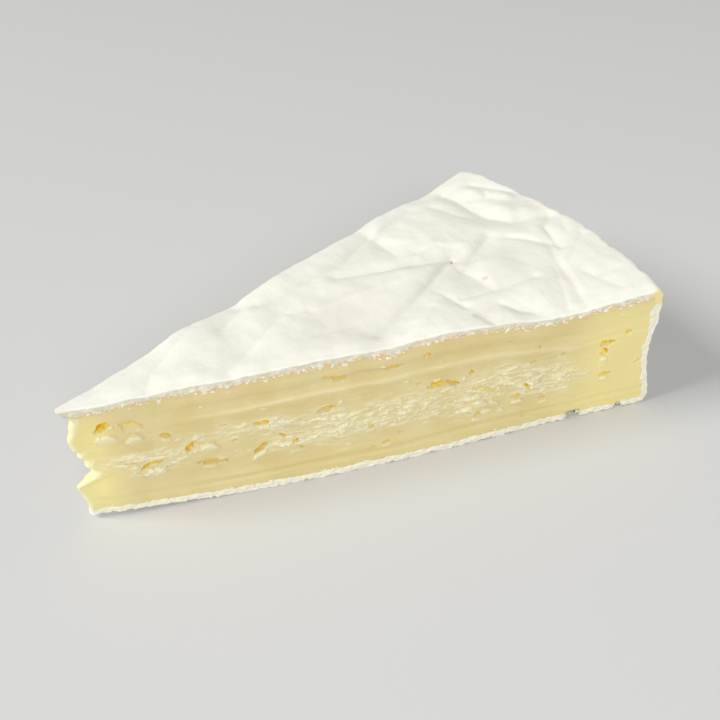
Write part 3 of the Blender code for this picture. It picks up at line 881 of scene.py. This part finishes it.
def shaped(radius, angle, height, relief):
    """Where each vertex of a block goes on the finished wedge, with a relief for each cut face."""
    share = (radius - BLOCK_START) / (WHEEL_RADIUS - BLOCK_START)
    start = nose_start(angle, height)
    along_ray = start + (heel_radius(angle, height) - start) * share
    outer = share > OUTER_SHARE
    crinkle = heel_crinkle(along_ray[outer], angle[outer], height[outer])
    along_ray[outer] += crinkle * smooth_step(OUTER_SHARE, 0.99, share[outer])
    x = along_ray * np.cos(angle)
    y = along_ray * np.sin(angle)
    spread = np.minimum(CUT_SPREAD, along_ray * math.sin(HALF_ANGLE))
    lift = np.zeros(len(x))
    for side in (-1, 1):
        from_cut = along_ray * np.sin(HALF_ANGLE - side * angle)
        along = along_ray * np.cos(HALF_ANGLE - side * angle)
        weight = (1 - smooth_step(0, spread, from_cut)) * smooth_step(0, 3, along - start)
        out = np.zeros(len(x))
        moved = weight > 0.001
        out[moved] = relief(along[moved], height[moved], side, moved)
        x = x - out * weight * math.sin(HALF_ANGLE)
        y = y + side * out * weight * math.cos(HALF_ANGLE)
        foot = moved & (height < FOOT_BAND) & (from_cut < FOOT_BAND)
        ragged = foot_lift(along[foot], side) * (1 - smooth_step(0, FOOT_BAND, from_cut[foot]))
        lift[foot] += ragged * (1 - smooth_step(0, FOOT_BAND, height[foot]))
    y = y + POINT_SWAY * (1 - height / HEIGHT) ** 1.5 * (1 - smooth_step(0, 10, along_ray))
    base = base_height(x)
    z = base + height / HEIGHT * (top_height(x, y) - base) + lift
    return np.column_stack((x, y, z))


def heel_crinkle(radius, angle, height):
    """Fine crinkles of the rind round the heel, coarser along its upper rim, and lumps by the corner."""
    x, y = radius * np.cos(angle), radius * np.sin(angle)
    rim = smooth_step(HEIGHT - 6, HEIGHT - 2, height)
    coarse = np.abs(wavy(x, y, height / 2, 4.2, 4.4)) - 0.15
    near_corner = bell(radius * (angle + HALF_ANGLE), CORNER_REACH)
    lumps = sum(relief * bell(height - level, half_width) for level, half_width, relief in CORNER_LUMPS)
    fine = waves(x, y, height, HEEL_CRINKLES)
    return fine + 0.9 * rim * coarse * (1 - near_corner) + lumps * near_corner


def store(piece, name, values):
    """Keeps a value for each vertex, for the finish to read."""
    layer = piece.data.attributes.new(name, "FLOAT", "POINT")
    layer.data.foreach_set("value", np.asarray(values, np.float32))


def finish_shape(piece):
    """Shades a piece smooth, and moves it from wheel coordinates in millimetres to its place."""
    deselect_everything()
    piece.select_set(True)
    bpy.context.view_layer.objects.active = piece
    bpy.ops.object.shade_smooth_by_angle(angle=SMOOTH_UP_TO)
    places = points_of(piece)
    places[:, :2] += WHEEL_CENTRE
    set_points(piece, places * MM)


def paste_block(side):
    """Half a block of paste: a cut face as an upright grid, spun to the middle of the wedge."""
    deselect_everything()
    bpy.ops.mesh.primitive_grid_add(
        x_subdivisions=PASTE_LENGTH_CELLS,
        y_subdivisions=PASTE_HEIGHT_CELLS,
        size=1,
        rotation=(math.pi / 2, 0, 0),
    )
    piece = bpy.context.object
    bpy.ops.object.transform_apply(location=False, rotation=True, scale=False)
    bpy.ops.object.mode_set(mode="EDIT")
    length = WHEEL_RADIUS - PASTE_COVER - BLOCK_START
    height = HEIGHT - 2 * PASTE_COVER
    bpy.ops.transform.resize(value=(length, 1, height), center_override=(0, 0, 0))
    bpy.ops.transform.translate(value=(BLOCK_START + length / 2, 0, HEIGHT / 2))
    turn_through_wedge(PASTE_ARC_STEPS, side * HALF_ANGLE, -side * HALF_ANGLE)
    select_faces(piece, lambda middle: abs(middle.y) < WELD)
    bpy.ops.mesh.delete(type="FACE")
    bpy.ops.mesh.select_all(action="SELECT")
    bpy.ops.mesh.fill_holes(sides=0)
    bpy.ops.mesh.select_all(action="SELECT")
    bpy.ops.mesh.normals_make_consistent(inside=False)
    bpy.ops.object.mode_set(mode="OBJECT")
    return piece


def skin_section():
    """The rind's section from point to heel and back: five quads in a C, divided into fine cells."""
    inner = WHEEL_RADIUS - SKIN_DEPTH
    deselect_everything()
    bpy.ops.mesh.primitive_plane_add(size=1, rotation=(math.pi / 2, 0, 0))
    piece = bpy.context.object
    bpy.ops.object.transform_apply(location=False, rotation=True, scale=False)
    bpy.ops.object.mode_set(mode="EDIT")
    bpy.ops.transform.resize(value=(inner - BLOCK_START, 1, SKIN_DEPTH), center_override=(0, 0, 0))
    bpy.ops.transform.translate(value=((BLOCK_START + inner) / 2, 0, HEIGHT - SKIN_DEPTH / 2))

    def in_heel(start, end):
        return min(start.x, end.x) > inner - ON_LINE

    def before_heel(start, end):
        return max(start.x, end.x) < inner + ON_LINE

    def below(start, end, height):
        return max(start.z, end.z) < height + ON_LINE

    def up_the_heel(start, end):
        between = min(start.z, end.z) > SKIN_DEPTH - ON_LINE and below(start, end, HEIGHT - SKIN_DEPTH)
        return between and abs(start.x - end.x) < ON_LINE and in_heel(start, end)

    select_edges(piece, in_heel)
    bpy.ops.mesh.extrude_region_move(TRANSFORM_OT_translate={"value": (SKIN_DEPTH, 0, 0)})
    select_edges(piece, lambda start, end: in_heel(start, end) and below(start, end, HEIGHT - SKIN_DEPTH))
    bpy.ops.mesh.extrude_region_move(TRANSFORM_OT_translate={"value": (0, 0, 2 * SKIN_DEPTH - HEIGHT)})
    bpy.ops.mesh.extrude_region_move(TRANSFORM_OT_translate={"value": (0, 0, -SKIN_DEPTH)})
    select_edges(piece, lambda start, end: before_heel(start, end) and below(start, end, SKIN_DEPTH))
    bpy.ops.mesh.extrude_region_move(TRANSFORM_OT_translate={"value": (BLOCK_START - inner, 0, 0)})
    select_edges(piece, lambda start, end: (start - end).length < SKIN_DEPTH + ON_LINE)
    bpy.ops.mesh.subdivide(number_cuts=SKIN_CELLS - 1)
    for parts in (20, SKIN_LENGTH_CELLS // 20):
        select_edges(piece, lambda start, end: before_heel(start, end) and abs(start.z - end.z) < ON_LINE)
        bpy.ops.mesh.subdivide(number_cuts=parts - 1)
    select_edges(piece, up_the_heel)
    bpy.ops.mesh.subdivide(number_cuts=SKIN_HEIGHT_CELLS - 1)
    return piece


def turn_of(place):
    return math.atan2(place.y, place.x)


def skin_block():
    """The rind's section spun through the wedge, without its inner faces and underside."""
    piece = skin_section()
    turn_through_wedge(SKIN_ARC_STEPS, HALF_ANGLE, -2 * HALF_ANGLE)
    inner = WHEEL_RADIUS - SKIN_DEPTH

    def hidden(middle):
        """The faces that nobody sees: the inner side of the skin, and the underside of the base."""
        radius = math.hypot(middle.x, middle.y)
        if abs(turn_of(middle)) > HALF_ANGLE - LEAST_TURN:
            return False
        under_top = abs(middle.z - HEIGHT + SKIN_DEPTH) < ON_FACE and radius < inner
        over_base = abs(middle.z - SKIN_DEPTH) < ON_FACE and radius < inner
        behind_heel = radius < inner + ON_FACE and SKIN_DEPTH < middle.z < HEIGHT - SKIN_DEPTH
        return under_top or over_base or behind_heel or middle.z < ON_FACE

    def round_the_axis(start, end):
        return abs(start.z - end.z) < ON_FACE and abs(turn_of(start) - turn_of(end)) > LEAST_TURN

    select_faces(piece, hidden)
    bpy.ops.mesh.delete(type="FACE")
    select_edges(piece, round_the_axis)
    bpy.ops.mesh.subdivide(number_cuts=SKIN_ARC_CUTS)
    return piece


def close_skin(piece):
    """Bridges the openings of the skin from one cut face to the other, with long plain faces."""

    def on_cut(vertex):
        return abs(turn_of(vertex.co)) > HALF_ANGLE - ON_CUT_EDGE

    def bridge(chosen):
        bpy.ops.mesh.select_mode(type="EDGE")
        bpy.ops.mesh.select_all(action="DESELECT")
        mesh = bmesh.from_edit_mesh(piece.data)
        for edge in mesh.edges:
            if edge.is_boundary and all(on_cut(vertex) and chosen(vertex.co) for vertex in edge.verts):
                edge.select_set(True)
        bmesh.update_edit_mesh(piece.data)
        bpy.ops.mesh.bridge_edge_loops()

    bridge(lambda place: place.z < ON_FACE)
    bridge(lambda place: place.z > ON_FACE)
    bpy.ops.mesh.select_all(action="SELECT")
    bpy.ops.mesh.fill_holes(sides=0)
    bpy.ops.mesh.select_all(action="SELECT")
    bpy.ops.mesh.normals_make_consistent(inside=False)
    bpy.ops.object.mode_set(mode="OBJECT")


def model_paste(side):
    """One half of the paste, from a cut face to the middle of the wedge. Side is -1 or 1."""
    piece = paste_block(side)
    piece.name = piece.data.name = "paste_near" if side < 0 else "paste_far"
    radius, angle, height = block_places(piece)
    turn = (angle / HALF_ANGLE) * (math.pi / 2 - HALF_ANGLE)
    sine = math.sin(HALF_ANGLE)
    angle = np.arctan2(sine * np.sin(turn), 1 - sine * np.cos(turn))
    behind = np.abs(angle) < HALF_ANGLE - ON_CUT
    height = HEIGHT / 2 + (height - HEIGHT / 2) * (1 - PASTE_SINK * behind)
    radius = radius - HEEL_GAP * behind * smooth_step(WHEEL_RADIUS - 8, WHEEL_RADIUS - 1, radius)
    masks = {name: np.zeros(len(radius)) for name in PASTE_MASKS}

    def relief(along, level, face, chosen):
        if face != side:
            return cut_form(along, level, face)
        out, *looks = paste_relief(along, level, face)
        looks += [*paste_tints(along, level, face), along, level]
        for name, values in zip(masks, looks):
            masks[name][chosen] = values
        out = out - RIND_GAP * (1 - smooth_step(-0.45, 0.0, beyond_rind(along, level, face)))
        return out - chip_depth(along, level, face)

    set_points(piece, shaped(radius, angle, height, relief))
    torn_end = radius < BLOCK_START + ON_LINE
    masks["lemon"][torn_end] = 0.9
    masks["chalk_and_highlight"][torn_end] = 0.45
    for name, values in masks.items():
        store(piece, name, values)
    finish_shape(piece)
    return piece


def crowded(depth):
    """Draws the rows of the rind's cut edge together towards its skin."""
    share = np.clip(depth / SKIN_DEPTH, 0, 1)
    return np.where(depth < SKIN_DEPTH, SKIN_DEPTH * share**1.4, depth)


def top_looks(x, y):
    """How thin the mould is over a place of the top rind, with painted shade on slopes turned from the
    light, and how brown it is marked.
    """
    thin = np.zeros(len(x))
    for mid_x, mid_y, radius, strength in THIN_MOULD_AND_SHADE:
        thin = thin + strength * bell(np.hypot(x - mid_x, y - mid_y), radius)
    mark = np.zeros(len(x))
    for start, end, half_width, strength in RIND_MARKS:
        run = np.subtract(end, start)
        share = np.clip(((x - start[0]) * run[0] + (y - start[1]) * run[1]) / (run @ run), 0, 1)
        distance = np.hypot(x - start[0] - share * run[0], y - start[1] - share * run[1])
        mark = np.maximum(mark, strength * (1 - smooth_step(0.6, 1.3, distance / half_width)))
    return thin, mark


def model_rind():
    """The skin of top, heel and base, with its cut edge on both faces."""
    piece = skin_block()
    close_skin(piece)
    piece.name = piece.data.name = "rind"
    radius, angle, height = block_places(piece)
    radius = WHEEL_RADIUS - crowded(WHEEL_RADIUS - rounded_out(radius, angle))
    height = HEIGHT - crowded(HEIGHT - crowded(height))
    beyond = np.full(len(radius), DEEP_IN_RIND)

    def relief(along, level, side, chosen):
        beyond[chosen] = beyond_rind(along, level, side)
        return rind_relief(along, level, side) - chip_depth(along, level, side)

    places = shaped(radius, angle, height, relief)
    x, y, z = places.T
    on_cut = (np.abs(angle) > HALF_ANGLE - ON_CUT) | (radius < BLOCK_START + ON_LINE)
    on_top = height > HEIGHT - ON_LINE
    depth = np.minimum(np.minimum(HEIGHT - height, height), WHEEL_RADIUS - radius)
    thin, mark = top_looks(x, y)
    corner_x, corner_y, corner_z, reach = BARE_CORNER
    from_corner = np.sqrt((x - corner_x) ** 2 + (y - corner_y) ** 2 + (z - corner_z) ** 2)
    foot = 1 - smooth_step(1.6, 3.0, height)
    heel_edge = smooth_step(3.4, 2.2, WHEEL_RADIUS - radius)
    set_points(piece, places)
    store(piece, "skin_depth", on_cut * np.maximum(depth, 0))
    store(piece, "beyond", beyond)
    # Depth of the folds, kept for the painted shade in the valleys of the top rind
    store(piece, "painted_fold_shade", on_top * fold_depth(x, y))
    # Thin mould, partly painted shade on slopes turned from the light
    store(piece, "thin_mould_and_shade", on_top * thin)
    store(piece, "mark", on_top * mark)
    store(piece, "bare", bell(from_corner, reach) * np.where(on_cut, 1.0, BARE_ON_TOP))
    store(piece, "bright_edge", np.maximum(foot, heel_edge))
    finish_shape(piece)
    return piece


def crumb_body():
    """One crumb, from a cube divided once and rounded."""
    deselect_everything()
    bpy.ops.mesh.primitive_cube_add(size=1)
    piece = bpy.context.object
    bpy.ops.object.mode_set(mode="EDIT")
    bpy.ops.mesh.select_all(action="SELECT")
    bpy.ops.mesh.subdivide(number_cuts=1, smoothness=0.7)
    bpy.ops.object.mode_set(mode="OBJECT")
    return piece


def on_cut_face(along, level, side):
    """The places on the finished wedge of points of a cut face."""
    angle = np.full(len(along), side * HALF_ANGLE)
    start = nose_start(angle, level)
    share = (along - start) / (heel_radius(angle, level) - start)

    def relief(along, level, face, chosen):
        return paste_relief(along, level, face)[0] if face == side else cut_form(along, level, face)

    return shaped(BLOCK_START + share * (WHEEL_RADIUS - BLOCK_START), angle, level, relief)


def scatter(crumb, spots, side, flatness):
    """Copies of a crumb, each with its own shape, pressed onto a cut face.

    Each spot is a distance from the wheel's centre, a height and a size.
    """
    draw = np.random.default_rng(61 + side)
    corners = points_of(crumb)
    turn_to_face = Matrix.Rotation(side * HALF_ANGLE, 3, "Z")
    outward = np.array((-math.sin(HALF_ANGLE), side * math.cos(HALF_ANGLE), 0))
    along, level, sizes = np.array(spots).T
    copies = []
    for place, size in zip(on_cut_face(along, level, side), sizes):
        copy = crumb.copy()
        copy.data = crumb.data.copy()
        bpy.context.scene.collection.objects.link(copy)
        shape = corners * (1 + draw.uniform(-0.3, 0.3, corners.shape))
        shape = shape * size * (draw.uniform(0.8, 1.7), flatness, draw.uniform(0.45, 0.9))
        turn = turn_to_face @ Euler(draw.normal(0, 0.5, 3)).to_matrix()
        set_points(copy, shape @ np.array(turn).T + place + outward * size * 0.1)
        copies.append(copy)
    return copies


def join_crumbs(name, crumb, copies):
    """Makes one piece of the copies, and removes the crumb that they were made from."""
    deselect_everything()
    for copy in copies:
        copy.select_set(True)
    bpy.context.view_layer.objects.active = copies[0]
    bpy.ops.object.join()
    piece = bpy.context.object
    piece.name = piece.data.name = name
    bpy.data.objects.remove(crumb)
    finish_shape(piece)
    return piece


def rind_crumb_spots(side):
    """Along the ragged lower edge of the top rind, and along the bottom rind."""
    draw = np.random.default_rng(71 + side)
    along = 5 + 132 * draw.uniform(0, 1, RIND_CRUMBS) ** 0.8
    level = HEIGHT - rind_reach(along, np.full(RIND_CRUMBS, HEIGHT - 1.5), side)[0]
    level = level - np.abs(draw.normal(0, 0.5, RIND_CRUMBS)) + 0.35
    low = 8 + 128 * draw.uniform(0, 1, RIND_CRUMBS // 3)
    low_level = rind_reach(low, np.full(len(low), 1.0), side)[1] + draw.normal(0.1, 0.3, len(low))
    sizes = draw.uniform(0.25, 0.65, RIND_CRUMBS + len(low))
    all_along = np.concatenate((along, low))
    all_levels = np.concatenate((level, np.maximum(low_level, 0.4)))
    return np.column_stack((all_along, all_levels, sizes))


def curd_flake_spots(side):
    """Over the flaky band, where it is torn, and single specks elsewhere on the near face."""
    draw = np.random.default_rng(81 + side)
    tries = 8 * CURD_FLAKES
    along = draw.uniform(8, 124, tries)
    level = draw.normal(15, 4, tries)
    sizes = draw.uniform(0.3, 0.7, tries)
    torn = (flaky_share(along, level, side) > 0.55) & (level > 5) & (level < 24)
    spots = np.column_stack((along, level, sizes))[torn][:CURD_FLAKES]
    return np.concatenate((spots, CURD_SPECKS)) if side < 0 else spots


def model_crumbs(name, spots, flatness):
    crumb = crumb_body()
    copies = [copy for side in (-1, 1) for copy in scatter(crumb, spots(side), side, flatness)]
    return join_crumbs(name, crumb, copies)


def new_material(name):
    material = bpy.data.materials.new(name)
    material.use_nodes = True
    return material, material.node_tree, material.node_tree.nodes["Principled BSDF"]


def add_node(tree, kind, **settings):
    node = tree.nodes.new(kind)
    for name, value in settings.items():
        setattr(node, name, value)
    return node


def mask_of(tree, name):
    return add_node(tree, "ShaderNodeAttribute", attribute_name=name).outputs["Fac"]


def speckle(tree, scale, detail=3.0, roughness=0.5):
    """Noise on object coordinates, its scale per millimetre."""
    places = add_node(tree, "ShaderNodeTexCoord").outputs["Object"]
    node = add_node(tree, "ShaderNodeTexNoise")
    node.inputs["Scale"].default_value = scale / MM
    node.inputs["Detail"].default_value = detail
    node.inputs["Roughness"].default_value = roughness
    tree.links.new(places, node.inputs["Vector"])
    return node.outputs["Fac"]


def remap(tree, value, low, high, to_low=0.0, to_high=1.0):
    node = add_node(tree, "ShaderNodeMapRange", interpolation_type="SMOOTHSTEP")
    node.inputs["From Min"].default_value = low
    node.inputs["From Max"].default_value = high
    node.inputs["To Min"].default_value = to_low
    node.inputs["To Max"].default_value = to_high
    tree.links.new(value, node.inputs["Value"])
    return node.outputs["Result"]


def combined(tree, operation, first, second):
    """Works two values into one, each a number or a socket."""
    node = add_node(tree, "ShaderNodeMath", operation=operation)
    for socket, value in zip(node.inputs, (first, second)):
        if isinstance(value, (int, float)):
            socket.default_value = value
        else:
            tree.links.new(value, socket)
    return node.outputs["Value"]


def times(tree, first, second):
    return combined(tree, "MULTIPLY", first, second)


def plus(tree, first, second):
    return combined(tree, "ADD", first, second)


def blend(tree, share, first, second):
    """Mixes two colours, each a tuple or a socket."""
    node = add_node(tree, "ShaderNodeMix", data_type="RGBA")
    tree.links.new(share, node.inputs[0])
    for socket, value in zip((node.inputs[6], node.inputs[7]), (first, second)):
        if isinstance(value, tuple):
            socket.default_value = (*value, 1.0)
        else:
            tree.links.new(value, socket)
    return node.outputs[2]


def bump(tree, height, strength, distance):
    node = add_node(tree, "ShaderNodeBump")
    node.inputs["Strength"].default_value = strength
    node.inputs["Distance"].default_value = distance * MM
    tree.links.new(height, node.inputs["Height"])
    return node.outputs["Normal"]


def drawn_out(tree, scale, detail, stretch, seed):
    """Noise drawn out along a cut face, on its own distance and height."""
    places = add_node(tree, "ShaderNodeCombineXYZ")
    tree.links.new(times(tree, mask_of(tree, "along"), stretch), places.inputs["X"])
    tree.links.new(mask_of(tree, "level"), places.inputs["Y"])
    places.inputs["Z"].default_value = seed
    node = add_node(tree, "ShaderNodeTexNoise")
    node.inputs["Scale"].default_value = scale
    node.inputs["Detail"].default_value = detail
    node.inputs["Roughness"].default_value = 0.6
    tree.links.new(places.outputs["Vector"], node.inputs["Vector"])
    return node.outputs["Fac"]


def torn_edges(tree, layers_per_mm, wander, broken):
    """Relief and pale rims of thin layers, chalky and with a painted highlight: each comes forward as it
    goes up, then breaks off.
    """
    level = times(tree, mask_of(tree, "level"), layers_per_mm)
    place = plus(tree, level, times(tree, wander, 2.2 * layers_per_mm))
    share = add_node(tree, "ShaderNodeMath", operation="FRACT")
    tree.links.new(place, share.inputs[0])
    share = share.outputs["Value"]
    edge = times(tree, share, remap(tree, share, 0.84, 1.0, 1.0, 0.0))
    return times(tree, edge, broken), times(tree, remap(tree, edge, 0.6, 0.8), broken)


def creamy_paste():
    material, tree, shader = new_material("creamy paste")
    link = tree.links.new
    painted_hole_glow = mask_of(tree, "painted_hole_glow")
    chalk_and_highlight = mask_of(tree, "chalk_and_highlight")
    flaky = mask_of(tree, "flaky")
    mottle = speckle(tree, 0.12)
    fine = speckle(tree, 1.8)
    wander = drawn_out(tree, 0.55, 3.0, 0.5, 0.0)
    broken = times(tree, flaky, remap(tree, drawn_out(tree, 0.9, 3.0, 0.45, 7.0), 0.47, 0.6))
    finely_broken = times(tree, flaky, remap(tree, drawn_out(tree, 1.6, 3.0, 0.5, 13.0), 0.48, 0.62))
    layers, rims = torn_edges(tree, 1.1, wander, broken)
    fine_layers, fine_rims = torn_edges(tree, 2.3, wander, finely_broken)
    colour = blend(tree, remap(tree, mottle, 0.35, 0.65), (0.765, 0.63, 0.29), (0.80, 0.685, 0.35))
    colour = blend(tree, mask_of(tree, "lemon"), colour, (0.92, 0.80, 0.355))
    colour = blend(tree, mask_of(tree, "tan"), colour, (0.85, 0.61, 0.29))
    colour = blend(tree, times(tree, flaky, 0.45), colour, (0.90, 0.81, 0.49))
    # Chalky paleness of the curd, with painted highlights on ledges, flecks and the knife ridge's crest
    pale = times(tree, chalk_and_highlight, remap(tree, fine, 0.3, 0.7, 0.7, 1.0))
    colour = blend(tree, pale, colour, (0.98, 0.945, 0.72))
    # Pale rims of thin torn layers: chalky curd, and a painted highlight along the ledges
    torn = plus(tree, times(tree, rims, 0.45), times(tree, fine_rims, 0.4))
    colour = blend(tree, torn, colour, (0.96, 0.92, 0.68))
    # Painted glow: deep gold in the roofs of holes, for light shining through the paste
    colour = blend(tree, remap(tree, painted_hole_glow, 0.08, 0.4), colour, (0.97, 0.71, 0.07))
    link(colour, shader.inputs["Base Color"])
    shader.inputs["Subsurface Weight"].default_value = 0.22
    shader.inputs["Subsurface Radius"].default_value = (1.0, 0.75, 0.35)
    shader.inputs["Subsurface Scale"].default_value = 0.8 * MM
    link(remap(tree, chalk_and_highlight, 0.0, 0.7, 0.42, 0.75), shader.inputs["Roughness"])
    grain = plus(tree, times(tree, fine, 0.25), plus(tree, layers, times(tree, fine_layers, 0.5)))
    link(bump(tree, grain, 0.7, 0.22), shader.inputs["Normal"])
    return material


def velvet_rind():
    material, tree, shader = new_material("white velvet rind")
    link = tree.links.new
    depth = mask_of(tree, "skin_depth")
    beyond = mask_of(tree, "beyond")
    cloud = speckle(tree, 0.07)
    fuzz = speckle(tree, 2.2)
    lumps = speckle(tree, 0.5)
    grit = speckle(tree, 1.0, 4.0, 0.6)
    colour = blend(tree, remap(tree, cloud, 0.35, 0.7), (0.95, 0.935, 0.825), (0.93, 0.915, 0.79))
    # Thin mould and painted shade: darker, creamier patches of the top rind
    colour = blend(tree, times(tree, mask_of(tree, "thin_mould_and_shade"), 0.7), colour, (0.83, 0.81, 0.68))
    # Painted shade: the valleys of the top rind's folds are coloured darker and greyer
    painted_fold_shade = remap(tree, mask_of(tree, "painted_fold_shade"), 0.3, 1.4, 0.0, 0.45)
    colour = blend(tree, painted_fold_shade, colour, (0.76, 0.75, 0.64))
    colour = blend(tree, mask_of(tree, "mark"), colour, (0.45, 0.33, 0.16))
    cut = remap(tree, plus(tree, depth, times(tree, lumps, 0.5)), 0.5, 0.8)
    strip = blend(tree, remap(tree, lumps, 0.35, 0.65), (0.73, 0.69, 0.525), (0.84, 0.805, 0.655))
    crumbly = remap(tree, plus(tree, beyond, times(tree, lumps, 2.2)), 0.25, 0.75)
    bits = blend(tree, remap(tree, grit, 0.48, 0.58), (0.80, 0.64, 0.37), (0.95, 0.925, 0.80))
    strip = blend(tree, crumbly, strip, bits)
    foot_white = remap(tree, plus(tree, depth, times(tree, grit, -0.5)), -0.1, 0.3)
    foot_white = times(tree, foot_white, remap(tree, fuzz, 0.4, 0.6, 0.3, 1.0))
    edge = blend(tree, foot_white, (0.96, 0.95, 0.87), (0.93, 0.87, 0.62))
    strip = blend(tree, mask_of(tree, "bright_edge"), strip, edge)
    colour = blend(tree, cut, colour, strip)
    bare = remap(tree, plus(tree, mask_of(tree, "bare"), times(tree, lumps, 0.5)), 0.7, 0.95)
    colour = blend(tree, bare, colour, (0.91, 0.79, 0.38))
    link(colour, shader.inputs["Base Color"])
    shader.inputs["Roughness"].default_value = 0.85
    shader.inputs["Subsurface Weight"].default_value = 0.15
    shader.inputs["Subsurface Radius"].default_value = (1.0, 0.9, 0.7)
    shader.inputs["Subsurface Scale"].default_value = 0.5 * MM
    shader.inputs["Sheen Weight"].default_value = 0.1
    uneven = speckle(tree, 0.2, 5.0, 0.6)
    height = plus(tree, times(tree, uneven, 3.0), plus(tree, times(tree, fuzz, 0.5), lumps))
    link(bump(tree, height, 0.4, 0.2), shader.inputs["Normal"])
    return material


def pale_curd():
    material, tree, shader = new_material("pale curd")
    fine = speckle(tree, 1.8)
    colour = blend(tree, remap(tree, fine, 0.35, 0.65), (0.90, 0.82, 0.50), (0.95, 0.90, 0.66))
    tree.links.new(colour, shader.inputs["Base Color"])
    shader.inputs["Roughness"].default_value = 0.6
    tree.links.new(bump(tree, fine, 0.4, 0.15), shader.inputs["Normal"])
    return material


def rind_crumb():
    material, tree, shader = new_material("rind crumb")
    grit = speckle(tree, 1.2)
    colour = blend(tree, remap(tree, grit, 0.4, 0.65), (0.95, 0.93, 0.82), (0.91, 0.82, 0.57))
    tree.links.new(colour, shader.inputs["Base Color"])
    shader.inputs["Roughness"].default_value = 0.85
    tree.links.new(bump(tree, grit, 0.3, 0.15), shader.inputs["Normal"])
    return material


def pale_floor():
    material, _, shader = new_material("pale floor")
    shader.inputs["Base Color"].default_value = (0.68, 0.68, 0.67, 1.0)
    shader.inputs["Roughness"].default_value = 0.9
    return material


def set_floor():
    deselect_everything()
    bpy.ops.mesh.primitive_plane_add(size=3.0, location=(0, 0, 0))
    floor = bpy.context.object
    floor.name = "floor"
    floor.data.materials.append(pale_floor())


def set_light():
    world = bpy.data.worlds.new("studio")
    bpy.context.scene.world = world
    world.use_nodes = True
    world.node_tree.nodes["Background"].inputs["Color"].default_value = (1.0, 1.0, 1.0, 1.0)
    world.node_tree.nodes["Background"].inputs["Strength"].default_value = 0.33
    deselect_everything()
    for name, place, size, power in (
        ("main softbox", (-2.48, 0.96, 2.32), 1.6, 78.0),
        ("front softbox", (-0.50, -1.24, 0.96), 0.75, 12.3),
    ):
        bpy.ops.object.light_add(type="AREA", location=place)
        light = bpy.context.object
        light.name = name
        light.data.shape = "SQUARE"
        light.data.size = size
        light.data.energy = power
        light.rotation_euler = (-Vector(place)).to_track_quat("-Z", "Y").to_euler()


# The camera: the point it looks at in mm, its direction, roll, distance and lens
AIM = (2.20, -2.19, 16.44)
CAMERA_AZIMUTH = math.radians(-28.42)
CAMERA_ELEVATION = math.radians(36.99)
CAMERA_ROLL = math.radians(-4.26)
CAMERA_DISTANCE = 233.63
LENS = 47.5


def set_camera():
    level = math.cos(CAMERA_ELEVATION)
    back_x = math.sin(CAMERA_AZIMUTH) * level
    back_y = -math.cos(CAMERA_AZIMUTH) * level
    back = Vector((back_x, back_y, math.sin(CAMERA_ELEVATION)))
    level_right = (-back).cross(Vector((0, 0, 1))).normalized()
    level_up = level_right.cross(-back)
    right = level_right * math.cos(CAMERA_ROLL) + level_up * math.sin(CAMERA_ROLL)
    up = level_up * math.cos(CAMERA_ROLL) - level_right * math.sin(CAMERA_ROLL)
    data = bpy.data.cameras.new("camera")
    camera = bpy.data.objects.new("camera", data)
    bpy.context.scene.collection.objects.link(camera)
    data.lens = LENS
    data.sensor_width = 36.0
    data.clip_start = 0.01
    place = (Vector(AIM) + back * CAMERA_DISTANCE) * MM
    turn = Matrix((right, up, back)).transposed().to_4x4()
    camera.matrix_world = Matrix.Translation(place) @ turn
    bpy.context.scene.camera = camera


def dress(piece, material):
    """Gives a piece its material, and its place in the part."""
    piece.data.materials.clear()
    piece.data.materials.append(material)
    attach(piece, "root")
    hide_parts("brie_wedge")


set_camera()
set_light()
set_floor()
bpy.context.scene.view_settings.view_transform = "Standard"
paste = creamy_paste()
for side in (-1, 1):
    dress(model_paste(side), paste)
dress(model_rind(), velvet_rind())
dress(model_crumbs("rind_crumbs", rind_crumb_spots, 0.5), rind_crumb())
dress(model_crumbs("curd_flakes", curd_flake_spots, 0.3), pale_curd())
